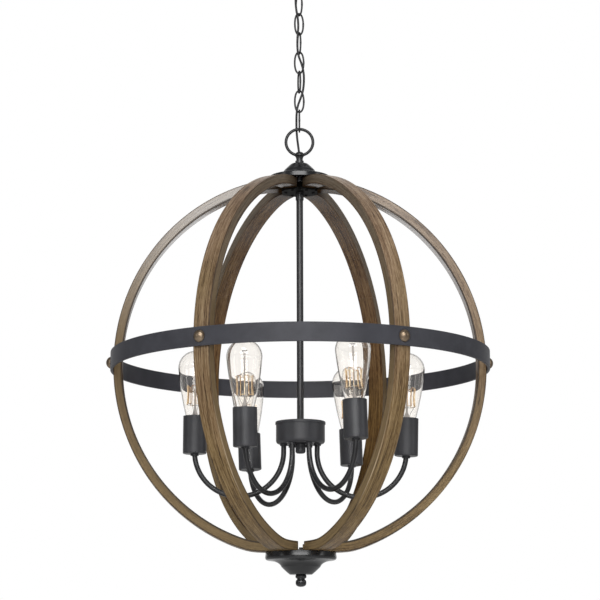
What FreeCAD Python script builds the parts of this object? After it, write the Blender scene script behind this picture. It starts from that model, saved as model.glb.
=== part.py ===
import FreeCAD, Part
import math
import os

# Globe pendant light. The origin is the centre of the mounting bar's top face, on the ceiling,
# and the light hangs below it along -Z. Lengths are in millimetres, turns in degrees.

# Ceiling fitting
canopy_radius = 63.5
canopy_height = 27.0
canopy_wall = 1.2
canopy_crown_radius = 24.0
bar_length = 108.0
bar_width = 22.0
bar_thickness = 2.2
bar_hole_spacing = 88.9
bar_hole_radius = 2.4
nipple_radius = 4.8
nipple_bore_radius = 3.1
nipple_play = 0.1
nipple_nut_radius = 9.0
nipple_nut_height = 4.5
collar_radius = 11.5
collar_height = 12.0
loop_boss_radius = 8.0
loop_boss_drop = 3.2
loop_outer_radius = 14.95
loop_wire = 4.4
loop_turn = -60.0

# Chain, from the top link down. A turn is where a link's flat plane points, seen from above
link_count = 7
link_length = 39.6
link_width = 17.8
link_wire = 3.0
link_gap = 0.25
link_turns = (48.0, -20.0, 70.0, 0.0, 75.0, 0.0, 90.0)

# Hang ring and the swivel head that it passes through
ring_outer_radius = 24.7
ring_wire = 4.9
head_play = 0.3
head_radius = 8.4
head_crown = 6.3
head_chin = 3.8
waist_radius = 5.4
waist_drop = 8.4
head_collar_radius = 7.0
head_collar_height = 3.6
neck_height = 13.3

# Top cap, on the ribs' upper ends
cap_rim_radius = 51.0
cap_rim_height = 8.0
cap_rim_fillet = 1.6
cap_step_radius = 46.0
cap_height = 32.2
cap_bell_radius = 25.6
cap_bell_height = 19.2
cap_dome_radius = 14.2
cap_dome_height = 30.2
cap_wall = 2.4
cord_hole_play = 0.4

# Ribs of the globe: flat outside, following an ellipse, and cut level at the poles. Each stands
# turned a little from its even place, by this many degrees
rib_count = 6
rib_strays = (2.0, 2.7, 2.3, 2.0, 0.5, 0.65)
rib_half_width = 301.1
rib_half_height = 311.5
rib_width = 28.3
rib_side_thickness = 14.5
rib_end_thickness = 16.5
rib_top_share = 0.978
rib_bottom_share = 0.967
rib_tip_thickness = 14.6
rib_tip_bottom_thickness = 15.6
rib_mitre_gap = 9.0
rib_tip_radius = 10.0
rib_foot_setback = 32.8

# Plate under the ribs' upper ends
plate_reach = 29.0
plate_width = 27.0
plate_thickness = 3.2
plate_spacer_radius = 7.3
rib_screw_circle = 22.5
rib_screw_head_radius = 2.9
rib_screw_head_height = 1.6
rib_screw_radius = 1.6
rib_screw_length = 11.0
screw_play = 0.1

# Equator band and its bolts
band_gap = 0.5
band_wall = 4.5
band_height = 29.2
band_above_centre = 3.8
bolt_head_radius = 9.5
bolt_head_height = 7.3
bolt_shank_radius = 2.4
bolt_length = 12.5

# Stem down to the hub
coupling_radius = 6.6
coupling_height = 12.5
stem_radius = 5.5
stem_bore_radius = 3.9
stem_play = 0.1
hub_below_band = 95.7
hub_cover_radius = 40.5
hub_cover_wall = 1.4
hub_cover_skirt = 4.6
hub_radius = 39.3
hub_height = 35.9
hub_wall = 1.2
hub_edge_round = 5.0
hub_nut_radius = 6.6
hub_nut_height = 1.5
stem_nut_radius = 8.6
stem_nut_height = 5.0
knob_radius = 8.2
knob_height = 15.4
knob_round = 4.0

# Arms, cups and bulbs. A rise lifts an arm's outer end, and a sway leans it sideways
arm_radius = 4.15
arm_bore_radius = 3.1
arm_bend_radius = 71.5
arm_inner_reach = 27.0
arm_stub = 12.9
arm_end_in = 5.2
arm_play = 0.3
arm_rises = (-1.6, -1.2, -4.0, 0.4, -2.0, 2.8)
arm_sways = (0.0, 2.6, 0.0, 0.0, 0.4, 0.0)
arm_nut_radius = 5.9
arm_flange_radius = 6.6
arm_nut_height = 3.0
cup_radius = 19.0
cup_height = 61.0
cup_wall = 1.3
cup_floor = 2.0
cup_edge_round = 2.0
cup_below_arm_end = 3.5
holder_radius = 16.6
holder_height = 50.0
holder_floor = 25.5
bulb_play = 0.4
base_radius = 13.1
base_length = 24.0
base_wall = 0.5
base_tip_radius = 4.6
base_tip_length = 3.6
base_insulator_length = 4.0
glass_neck_radius = 12.6
glass_wall = 0.9
glass_length = 136.4
glass_widest_radius = 28.0
glass_throat_radius = 15.6
glass_throat_share = 0.075
glass_bulge_share = 0.055
mount_radius = 7.0
mount_height = 30.0
rod_radius = 1.5
rod_height = 109.5
filament_cage_radius = 13.6
filament_cage_low = 40.0
filament_cage_high = 69.5
filament_wire = 0.8
filament_runs = 12
wire_radius = 2.1

# Bottom cap and finial, under the ribs' lower ends
foot_rim_radius = 57.0
foot_rim_height = 12.4
foot_step_height = 7.4
foot_step_radius = 52.0
foot_bell_radius = 31.0
foot_bell_drop = 23.0
foot_neck_radius = 17.5
foot_height = 35.0
foot_wall = 2.4
stud_radius = 3.0
stud_nut_radius = 5.6
stud_nut_height = 5.0
stud_rise = 8.0
stud_play = 0.1
foot_plate_thickness = 2.5
foot_plate_play = 0.3
foot_screw_circle = 41.0
finial_bead_radius = 8.9
finial_bead_height = 6.0
finial_neck_radius = 6.3
finial_neck_drop = 8.0
finial_ball_radius = 8.6
finial_ball_drop = 12.6
finial_height = 19.4

# Supply cord, up beside the chain, as points from the cap to the ceiling: x, y and height from
# the head's eye
cord_radius = 1.8
cord_route = (
    (0.0, 11.0, -31.0),
    (0.2, 10.9, -15.5),
    (0.0, 7.9, -5.2),
    (-0.5, 4.9, 3.4),
    (-1.6, 4.9, 13.5),
    (-3.5, 5.0, 27.5),
    (-4.8, 5.1, 43.0),
    (-4.9, 2.4, 56.5),
    (-4.7, -4.4, 70.0),
    (-2.9, -5.0, 82.5),
    (1.4, -4.5, 94.0),
    (6.0, -4.7, 107.0),
    (7.9, -4.1, 124.0),
    (7.6, -4.5, 140.5),
    (3.8, -4.7, 156.5),
    (-1.6, -4.9, 170.0),
    (-3.1, -4.5, 185.0),
    (-2.7, -5.0, 203.0),
    (-0.9, -4.9, 219.5),
    (-2.1, -6.0, 235.5),
    (-4.9, -4.0, 251.0),
    (-5.8, -0.3, 266.5),
    (-5.4, 0.3, 281.0),
    (-1.0, 0.2, 293.0),
    (0.0, 0.0, 306.5),
    (0.0, 0.1, 322.0),
)

# Places along Z, worked out from the ceiling down
collar_z = -canopy_height
loop_seat_z = collar_z - collar_height
loop_centre_z = loop_seat_z - loop_outer_radius + loop_wire / 4
loop_line_radius = loop_outer_radius - loop_wire / 2
link_pitch = link_length - 2 * link_wire - link_gap
first_link_z = loop_centre_z - loop_line_radius + loop_wire / 2 + link_gap + link_wire
last_link_z = first_link_z - (link_count - 1) * link_pitch - link_length
ring_line_radius = ring_outer_radius - ring_wire / 2
ring_z = last_link_z + link_wire + link_gap + ring_wire / 2 - ring_line_radius
eye_z = ring_z - ring_line_radius
cap_top_z = eye_z - neck_height
rib_top_z = cap_top_z - cap_height
globe_z = rib_top_z - rib_top_share * rib_half_height
rib_bottom_z = globe_z - rib_bottom_share * rib_half_height
band_z = globe_z + band_above_centre
plate_z = rib_top_z - rib_tip_thickness
stem_top_z = plate_z - plate_thickness
hub_top_z = band_z - hub_below_band
hub_floor_z = hub_top_z - hub_height
band_radius = rib_half_width + band_gap
even_turns = [360 * n / rib_count for n in range(rib_count)]
rib_turns = [even + stray for even, stray in zip(even_turns, rib_strays)]

nodes = {}


def vec(x, y, z):
    return FreeCAD.Vector(x, y, z)


UP = vec(0, 0, 1)


def keep(name, *solids):
    """Hold a node's solids under its name."""
    nodes[name] = list(solids)


def rod(radius, low, high, x=0.0, y=0.0):
    """An upright cylinder between two heights."""
    return Part.makeCylinder(radius, high - low, vec(x, y, low), UP)


def tube(radius, bore, low, high):
    """An upright tube between two heights."""
    return rod(radius, low, high).cut(rod(bore, low - bore, high + bore))


def slab(width, depth, low, high):
    """A box centred on the axis, between two heights."""
    return Part.makeBox(width, depth, high - low, vec(-width / 2, -depth / 2, low))


def hexagon(radius, low, high, x=0.0, y=0.0):
    """An upright six-sided bar whose flats touch a circle of this radius."""
    corner = radius / math.cos(math.pi / 6)
    ring = [
        vec(x + corner * math.cos(n * math.pi / 3), y + corner * math.sin(n * math.pi / 3), low)
        for n in range(6)
    ]
    return Part.Face(Part.makePolygon(ring + ring[:1])).extrude(UP * (high - low))


def lathe(steps):
    """Turn an outline about Z. Each step is (r, z), or (r, z, mid r, mid z) for an arc that ends at
    r, z and passes the mid point."""
    edges = []
    here = steps[0]
    for step in steps[1:] + steps[:1]:
        start = vec(here[0], 0, here[1])
        end = vec(step[0], 0, step[1])
        if len(step) == 4:
            edges.append(Part.Arc(start, vec(step[2], 0, step[3]), end).toShape())
        elif start.distanceToPoint(end) > 0:
            edges.append(Part.LineSegment(start, end).toShape())
        here = step
    return Part.Face(Part.Wire(edges)).revolve(vec(0, 0, 0), UP, 360)


def dome_middle(radius, rise):
    """The middle of a round dome's outline, from its edge, at this radius, to its top, as (r, z)
    above the edge."""
    ball = (radius**2 + rise**2) / (2 * abs(rise))
    half_turn = math.asin(min(1, radius / ball)) / 2
    if abs(rise) > radius:
        half_turn = math.pi / 2 - half_turn
    height = abs(rise) - ball + ball * math.cos(half_turn)
    return ball * math.sin(half_turn), math.copysign(height, rise)


def ring_solid(line_radius, wire, z, turn):
    """A closed ring of round wire standing on edge. Its plane's plan direction is turn."""
    ring = Part.makeTorus(line_radius, wire / 2, vec(0, 0, 0), vec(0, 1, 0))
    ring.translate(vec(0, 0, z))
    ring.rotate(vec(0, 0, 0), UP, -turn)
    return ring


def link_solid(top_z, turn):
    """A chain link: two straight sides and two half round ends of one wire."""
    half_width = (link_width - link_wire) / 2
    high = top_z - link_wire / 2 - half_width
    low = top_z - link_length + link_wire / 2 + half_width
    left, right = vec(-half_width, 0, 0), vec(half_width, 0, 0)
    line = [
        Part.LineSegment(right + UP * low, right + UP * high).toShape(),
        Part.Arc(right + UP * high, UP * (high + half_width), left + UP * high).toShape(),
        Part.LineSegment(left + UP * high, left + UP * low).toShape(),
        Part.Arc(left + UP * low, UP * (low - half_width), right + UP * low).toShape(),
    ]
    section = Part.Wire(Part.makeCircle(link_wire / 2, right + UP * low, UP))
    link = Part.Wire(line).makePipeShell([section], True, False)
    link.rotate(vec(0, 0, 0), UP, -turn)
    return link


def rounded_route(points):
    """Straight runs joined by tangent arcs, with each arc as large as its two runs allow."""
    edges = []
    radii = []
    at = points[0]
    for before, corner, after in zip(points, points[1:], points[2:]):
        back = before - corner
        ahead = after - corner
        reach = 0.45 * min(back.Length, ahead.Length)
        back.normalize()
        ahead.normalize()
        turn = math.pi - back.getAngle(ahead)
        radius = reach / math.tan(turn / 2)
        first = corner + back * reach
        last = corner + ahead * reach
        middle = back + ahead
        middle.normalize()
        inset = radius / math.cos(turn / 2) - radius
        edges.append(Part.LineSegment(at, first).toShape())
        edges.append(Part.Arc(first, corner + middle * inset, last).toShape())
        radii.append(radius)
        at = last
    edges.append(Part.LineSegment(at, points[-1]).toShape())
    return Part.Wire(edges), radii


def make_ceiling_fitting():
    bar = slab(bar_length, bar_width, -bar_thickness, 0)
    bar = bar.cut(rod(nipple_radius + nipple_play, -2 * bar_thickness, bar_thickness))
    for side in (-1, 1):
        x = side * bar_hole_spacing / 2
        bar = bar.cut(rod(bar_hole_radius, -2 * bar_thickness, bar_thickness, x))
    keep("mounting_bar", bar)

    nipple_low = loop_seat_z - loop_boss_drop
    nipple_high = -bar_thickness / 2
    nipple = tube(nipple_radius, nipple_bore_radius, nipple_low, nipple_high)
    nut_top = -bar_thickness
    nut = hexagon(nipple_nut_radius, nut_top - nipple_nut_height, nut_top)
    nut = nut.cut(rod(nipple_radius + nipple_play, nut_top - canopy_height, 0))
    keep("canopy_nipple", nipple)
    keep("nipple_nut", nut)

    crown = canopy_crown_radius
    bend = ((canopy_radius - crown) ** 2 + canopy_height**2) / (2 * canopy_height)
    inner_bend = bend - canopy_wall
    middle_z = collar_z + bend

    def curve(radius, share):
        turn = share * math.acos(middle_z / radius)
        return crown + radius * math.sin(turn), middle_z - radius * math.cos(turn)

    canopy = lathe([
        (crown, collar_z),
        (*curve(bend, 1), *curve(bend, 0.5)),
        curve(inner_bend, 1),
        (crown, collar_z + canopy_wall, *curve(inner_bend, 0.5)),
        (nipple_radius + nipple_play, collar_z + canopy_wall),
        (nipple_radius + nipple_play, collar_z),
    ])
    keep("canopy", canopy)

    lip = loop_wire / 4
    collar = lathe([
        (nipple_radius + nipple_play, collar_z),
        (collar_radius, collar_z),
        (collar_radius, loop_seat_z + collar_height / 3),
        (collar_radius - lip, loop_seat_z),
        (nipple_radius + nipple_play, loop_seat_z),
    ])
    keep("screw_collar", collar)

    boss_low = loop_seat_z - loop_boss_drop
    loop = ring_solid(loop_line_radius, loop_wire, loop_centre_z, loop_turn)
    loop = loop.fuse(rod(loop_boss_radius, boss_low, loop_seat_z))
    above = rod(loop_outer_radius, loop_seat_z, loop_seat_z + loop_wire)
    loop = loop.cut(above).cut(rod(nipple_radius + nipple_play, loop_centre_z, loop_seat_z + loop_wire))
    keep("canopy_loop", loop)


def make_chain():
    for n in range(link_count):
        keep(f"chain_link_{n + 1}", link_solid(first_link_z - n * link_pitch, link_turns[n]))
    keep("hang_ring", ring_solid(ring_line_radius, ring_wire, ring_z, 0))


def make_cord():
    points = [vec(x, y, eye_z + rise) for x, y, rise in cord_route]
    line, radii = rounded_route(points)
    heading = points[1] - points[0]
    section = Part.Wire(Part.makeCircle(cord_radius, points[0], heading))
    cord = line.makePipeShell([section], True, False)
    keep("supply_cord", cord)
    expected = math.pi * cord_radius**2 * line.Length
    print("cord length", round(line.Length, 1), "least radius", round(min(radii), 1))
    print("cord volume over section times length", round(cord.Volume / expected, 4))


def cord_hole(extra):
    """The space that the cord needs where it runs down beside the head and into the cap."""
    points = [vec(x, y, eye_z + rise) for x, y, rise in cord_route[:7]]
    line, _ = rounded_route(points)
    section = Part.Wire(Part.makeCircle(cord_radius + extra, points[0], points[1] - points[0]))
    return line.makePipeShell([section], True, False)


def make_swivel_head():
    cheek = head_crown / 9
    crown_r, crown_z = dome_middle(head_radius, head_crown - cheek)
    socket = nipple_radius + nipple_play
    socket_z = cap_top_z + head_collar_height * 0.8
    head = lathe([
        (0, eye_z + head_crown),
        (head_radius, eye_z + cheek, crown_r, eye_z + cheek + crown_z),
        (head_radius, eye_z - cheek),
        (waist_radius, eye_z - waist_drop, head_radius * 0.72, eye_z - head_chin),
        (waist_radius, cap_top_z + head_collar_height),
        (head_collar_radius, cap_top_z + head_collar_height),
        (head_collar_radius, cap_top_z),
        (socket, cap_top_z),
        (socket, socket_z),
        (0, socket_z),
    ])
    bore = ring_wire / 2 + head_play
    flare = bore + head_radius**2 / ring_line_radius / 2
    edge = [
        vec(-head_radius, 0, flare),
        vec(0, 0, bore),
        vec(head_radius, 0, flare),
    ]
    side = Part.Arc(*edge).toShape()
    shut = Part.makePolygon([edge[2], vec(head_radius, 0, 0), vec(-head_radius, 0, 0), edge[0]])
    eye = Part.Face(Part.Wire([side] + shut.Edges)).revolve(vec(0, 0, 0), vec(1, 0, 0), 360)
    eye.translate(vec(0, 0, eye_z))
    head = head.cut(eye).cut(cord_hole(cord_hole_play))
    keep("swivel_head", head)


def make_top_cap():
    wall = cap_wall
    rim_z = rib_top_z + cap_rim_height
    bell_z = rib_top_z + cap_bell_height
    dome_z = rib_top_z + cap_dome_height
    fillet = cap_rim_fillet
    bell_mid_r = (cap_step_radius + 2 * cap_bell_radius) / 3
    bell_mid_z = (2 * rim_z + bell_z) / 3
    dome_mid_r = cap_dome_radius + (cap_bell_radius - cap_dome_radius) * 0.42
    dome_mid_z = bell_z + (dome_z - bell_z) * 0.62
    cap = lathe([
        (cap_rim_radius, rib_top_z),
        (cap_rim_radius, rim_z - fillet),
        (cap_rim_radius - fillet, rim_z, cap_rim_radius - fillet * 0.3, rim_z - fillet * 0.3),
        (cap_step_radius, rim_z),
        (cap_bell_radius, bell_z, bell_mid_r, bell_mid_z),
        (cap_dome_radius, dome_z, dome_mid_r, dome_mid_z),
        (head_collar_radius, cap_top_z),
        (nipple_radius + nipple_play, cap_top_z),
        (nipple_radius + nipple_play, cap_top_z - wall),
        (cap_dome_radius - wall, dome_z - wall),
        (cap_bell_radius - wall, bell_z - wall / 2),
        (cap_bell_radius - wall, rim_z - wall),
        (cap_rim_radius - 2 * wall, rim_z - wall),
        (cap_rim_radius - 2 * wall, rib_top_z),
    ])
    cap = cap.cut(cord_hole(cord_hole_play))
    keep("top_cap", cap)

    low = stem_top_z - coupling_height / 2
    high = cap_top_z + head_collar_height / 2
    keep("top_nipple", tube(nipple_radius, nipple_bore_radius, low, high))


def make_ribs():
    """Six half ribs, mitred at the top and cut square at the foot."""
    high = rib_top_z
    low = rib_bottom_z
    reach = 2 * rib_half_width

    def egg(half_width, half_height, thickness):
        ellipse = Part.Ellipse(vec(0, 0, 0), max(half_width, half_height), min(half_width, half_height))
        face = Part.Face(Part.Wire(ellipse.toShape()))
        if half_height > half_width:
            face.rotate(vec(0, 0, 0), UP, 90)
        face.rotate(vec(0, 0, 0), vec(1, 0, 0), 90)
        face.translate(vec(0, thickness / 2, globe_z))
        return face.extrude(vec(0, -thickness, 0))

    outer = egg(rib_half_width, rib_half_height, rib_width)
    outer = outer.common(slab(reach, reach, low, high))
    inner = egg(rib_half_width - rib_side_thickness, rib_half_height - rib_end_thickness, reach)
    inner = inner.common(
        slab(reach, reach, low + rib_tip_bottom_thickness, high - rib_tip_thickness)
    )
    hoop = outer.cut(inner)
    half = Part.makeBox(reach, reach, 3 * rib_half_height, vec(0, -reach / 2, low - rib_half_height))
    rib = hoop.common(half)
    mitre = math.pi / rib_count
    setback = rib_mitre_gap / 2 / math.sin(mitre)
    far = 4 * rib_half_width
    wedge = Part.makePolygon([
        vec(setback, 0, low - rib_width),
        vec(setback + far * math.cos(mitre), -far * math.sin(mitre), low - rib_width),
        vec(setback + far * math.cos(mitre), far * math.sin(mitre), low - rib_width),
        vec(setback, 0, low - rib_width),
    ])
    rib = rib.common(Part.Face(wedge).extrude(UP * (high - low + 2 * rib_width)))
    rib = rib.cut(rod(rib_tip_radius, low - rib_width, high + rib_width))
    bolt_hole = Part.makeCylinder(
        bolt_shank_radius, rib_width, vec(rib_half_width - bolt_length + band_wall, 0, band_z),
        vec(1, 0, 0),
    )
    rib = rib.cut(bolt_hole)
    rib = rib.cut(Part.makeBox(
        rib_foot_setback, 2 * rib_width, rib_half_height, vec(0, -rib_width, low - rib_width),
    ))
    for circle, start in ((rib_screw_circle, stem_top_z), (foot_screw_circle, low - foot_plate_thickness)):
        rib = rib.cut(rod(rib_screw_radius, start, start + rib_screw_length, circle))
    for n, turn in enumerate(rib_turns):
        piece = rib.copy()
        piece.rotate(vec(0, 0, 0), UP, turn)
        keep(f"rib_{n + 1}", piece)


def screw_place(circle, turn):
    return circle * math.cos(math.radians(turn)), circle * math.sin(math.radians(turn))


def with_screw_holes(plate, circle, low, high):
    """A plate with one hole for each rib's screw."""
    for turn in rib_turns:
        plate = plate.cut(rod(rib_screw_radius + screw_play, low, high, *screw_place(circle, turn)))
    return plate


def make_rib_screws():
    foot_seat_z = rib_bottom_z - foot_plate_thickness
    screws = []
    for circle, seat in ((rib_screw_circle, stem_top_z), (foot_screw_circle, foot_seat_z)):
        for turn in rib_turns:
            x, y = screw_place(circle, turn)
            head = Part.makeCone(
                rib_screw_head_radius * 0.7, rib_screw_head_radius, rib_screw_head_height,
                vec(x, y, seat - rib_screw_head_height), UP,
            )
            screws.append(rod(rib_screw_radius, seat, seat + rib_screw_length, x, y).fuse(head))
    keep("rib_screws", *screws)


def make_top_plate():
    plate = slab(2 * plate_reach, plate_width, stem_top_z, plate_z)
    for turn in even_turns[1:rib_count // 2]:
        arm = slab(2 * plate_reach, plate_width, stem_top_z, plate_z)
        arm.rotate(vec(0, 0, 0), UP, turn)
        plate = plate.fuse(arm)
    plate = plate.fuse(rod(plate_spacer_radius, stem_top_z, rib_top_z)).removeSplitter()
    plate = plate.cut(rod(nipple_radius + nipple_play, stem_top_z - coupling_height, rib_top_z + rib_width))
    plate = with_screw_holes(plate, rib_screw_circle, stem_top_z - plate_width, plate_z + rib_width)
    keep("top_plate", plate)


def make_band():
    half = band_height / 2
    band = tube(band_radius + band_wall, band_radius, band_z - half, band_z + half)
    face = band_radius + band_wall
    start = vec(rib_half_width - bolt_length + band_wall, 0, 0)
    shank = Part.makeCylinder(bolt_shank_radius, face - start.x, start, vec(1, 0, 0))
    edge = bolt_head_height * 0.12
    dome_r, dome_z = dome_middle(bolt_head_radius, bolt_head_height - edge)
    head = lathe([
        (0, 0),
        (bolt_head_radius, 0),
        (bolt_head_radius, edge),
        (0, bolt_head_height, dome_r, edge + dome_z),
    ])
    head.rotate(vec(0, 0, 0), vec(0, 1, 0), 90)
    head.translate(vec(face, 0, 0))
    bolt = head.fuse(shank)
    bolt.translate(vec(0, 0, band_z))
    hole = Part.makeCylinder(
        bolt_shank_radius, 2 * band_wall, vec(band_radius - band_wall / 2, 0, band_z), vec(1, 0, 0)
    )
    bolts = []
    for turn in rib_turns:
        one_bolt = bolt.copy()
        one_bolt.rotate(vec(0, 0, 0), UP, turn)
        one_hole = hole.copy()
        one_hole.rotate(vec(0, 0, 0), UP, turn)
        band = band.cut(one_hole)
        bolts.append(one_bolt)
    keep("equator_band", band)
    keep("band_bolts", *bolts)


def make_stem():
    coupling_low = stem_top_z - coupling_height
    coupling = rod(coupling_radius, coupling_low, stem_top_z)
    coupling = coupling.cut(
        rod(nipple_radius + nipple_play, coupling_low + coupling_height / 2 - nipple_play, rib_top_z)
    )
    coupling = coupling.cut(rod(stem_radius + stem_play, coupling_low - coupling_height,
                                coupling_low + coupling_height / 2 - nipple_play))
    keep("stem_coupling", coupling)
    stem_low = hub_floor_z - knob_height / 2
    stem_high = coupling_low + coupling_height / 2 - 2 * nipple_play
    keep("stem", tube(stem_radius, stem_bore_radius, stem_low, stem_high))


def make_hub():
    wall = hub_wall
    edge = hub_edge_round
    bend = 1 - math.sqrt(2) / 2
    pan = lathe([
        (stem_radius + stem_play, hub_floor_z),
        (hub_radius - edge, hub_floor_z),
        (hub_radius, hub_floor_z + edge, hub_radius - edge * bend, hub_floor_z + edge * bend),
        (hub_radius, hub_top_z - hub_cover_wall),
        (hub_radius - wall, hub_top_z - hub_cover_wall),
        (hub_radius - wall, hub_floor_z + edge),
        (hub_radius - edge, hub_floor_z + wall,
         hub_radius - edge * bend - wall * (1 - bend), hub_floor_z + edge * bend + wall * (1 - bend)),
        (stem_radius + stem_play, hub_floor_z + wall),
    ])
    for n in range(rib_count):
        pan = pan.cut(on_arm(rod(arm_radius + arm_play, -arm_stub, arm_stub), n))
    keep("hub_pan", pan)
    lid_in = hub_radius + stem_play
    lid_edge = hub_cover_wall
    cover = lathe([
        (stem_radius + stem_play, hub_top_z - hub_cover_wall),
        (lid_in, hub_top_z - hub_cover_wall),
        (lid_in, hub_top_z - hub_cover_skirt),
        (hub_cover_radius, hub_top_z - hub_cover_skirt),
        (hub_cover_radius, hub_top_z - lid_edge),
        (hub_cover_radius - lid_edge, hub_top_z,
         hub_cover_radius - lid_edge * bend, hub_top_z - lid_edge * bend),
        (stem_radius + stem_play, hub_top_z),
    ])
    keep("hub_cover", cover)
    upper = lathe([
        (stem_radius + stem_play, hub_top_z),
        (hub_nut_radius, hub_top_z),
        (hub_nut_radius - hub_nut_height / 2, hub_top_z + hub_nut_height),
        (stem_radius + stem_play, hub_top_z + hub_nut_height),
    ])
    inside_z = hub_floor_z + hub_wall
    inner = hexagon(stem_nut_radius, inside_z, inside_z + stem_nut_height)
    inner = inner.cut(rod(stem_radius + stem_play, hub_floor_z, inside_z + 2 * stem_nut_height))
    below_z = hub_top_z - hub_cover_wall
    lower = hexagon(stem_nut_radius, below_z - stem_nut_height, below_z)
    lower = lower.cut(rod(stem_radius + stem_play, below_z - 2 * stem_nut_height, hub_top_z))
    keep("stem_nuts", upper, inner, lower)
    low = hub_floor_z - knob_height
    knob = lathe([
        (0, low),
        (knob_radius - knob_round, low),
        (knob_radius, low + knob_round, knob_radius - knob_round * bend, low + knob_round * bend),
        (knob_radius, hub_floor_z),
        (stem_radius + stem_play, hub_floor_z),
        (stem_radius + stem_play, hub_floor_z - knob_height / 2 - stem_play),
        (0, hub_floor_z - knob_height / 2 - stem_play),
    ])
    keep("hub_knob", knob)


def on_arm(shape, n):
    """Stand a shape, made about the arm's own inner end, at the n-th arm of the hub. Made there, X
    points outwards, and the hub's floor is at height zero."""
    piece = shape.copy()
    piece.rotate(vec(0, 0, 0), vec(0, 1, 0), -arm_rises[n])
    piece.rotate(vec(0, 0, 0), vec(1, 0, 0), -arm_sways[n])
    piece.translate(vec(arm_inner_reach, 0, hub_floor_z))
    piece.rotate(vec(0, 0, 0), UP, even_turns[n])
    return piece


def make_arm_tube(radius):
    """One arm's line is straight down, a half circle outwards, and straight up into its cup."""
    reach = 2 * arm_bend_radius
    inner_top = vec(0, 0, arm_end_in)
    inner_low = vec(0, 0, -arm_stub)
    outer_low = vec(reach, 0, -arm_stub)
    outer_top = vec(reach, 0, -arm_stub + arm_play)
    bottom = vec(arm_bend_radius, 0, -arm_stub - arm_bend_radius)
    line = Part.Wire([
        Part.LineSegment(inner_top, inner_low).toShape(),
        Part.Arc(inner_low, bottom, outer_low).toShape(),
        Part.LineSegment(outer_low, outer_top).toShape(),
    ])
    section = Part.Wire(Part.makeCircle(radius, inner_top, UP))
    return line.makePipeShell([section], True, False)


def make_arms():
    reach = 2 * arm_bend_radius
    solid = make_arm_tube(arm_radius)
    hollow = make_arm_tube(arm_bore_radius)
    wire = make_arm_tube(wire_radius)
    floor = -arm_stub - cup_below_arm_end
    through = rod(arm_radius + arm_play, -2 * arm_stub, arm_stub)
    flange_hole = rod(arm_radius + 2 * arm_play, floor - arm_stub, floor + arm_stub, reach)
    flange = rod(arm_flange_radius, floor - arm_nut_height, floor, reach).cut(flange_hole)
    nuts = []
    stem_wire = rod(wire_radius, hub_floor_z + hub_height / 2, rib_top_z + cap_rim_height)
    wires = [stem_wire]
    for n, turn in enumerate(even_turns):
        keep(f"arm_{n + 1}", on_arm(solid.cut(hollow), n))
        wires.append(on_arm(wire, n))
        for low, nut in (
            (hub_floor_z + hub_wall, hexagon(arm_nut_radius, 0, arm_nut_height)),
            (hub_floor_z - arm_nut_height, rod(arm_nut_radius, 0, arm_nut_height)),
        ):
            nut.translate(vec(arm_inner_reach, 0, low))
            nut.rotate(vec(0, 0, 0), UP, turn)
            nuts.append(nut.cut(on_arm(through, n)))
        nuts.append(on_arm(flange, n))
    keep("arm_nuts", *nuts)
    keep("inner_wires", *wires)


def make_cups():
    bend = 1 - math.sqrt(2) / 2
    low = -arm_stub - cup_below_arm_end
    edge = cup_edge_round
    hole = arm_radius + 2 * arm_play
    cup = lathe([
        (hole, low),
        (cup_radius - edge, low),
        (cup_radius, low + edge, cup_radius - edge * bend, low + edge * bend),
        (cup_radius, low + cup_height),
        (cup_radius - cup_wall, low + cup_height),
        (cup_radius - cup_wall, low + cup_floor),
        (hole, low + cup_floor),
    ])
    seat = low + cup_floor
    bore = base_radius + bulb_play
    holder = lathe([
        (hole, seat),
        (holder_radius, seat),
        (holder_radius, seat + holder_height),
        (bore, seat + holder_height),
        (bore, seat + holder_floor),
        (0, seat + holder_floor),
        (0, seat + holder_floor / 2),
        (hole, seat + holder_floor / 2),
    ])
    reach = vec(2 * arm_bend_radius, 0, 0)
    cup.translate(reach)
    holder.translate(reach)
    keep("socket_cups", *[on_arm(cup, n) for n in range(rib_count)])
    keep("lampholders", *[on_arm(holder, n) for n in range(rib_count)])


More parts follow.
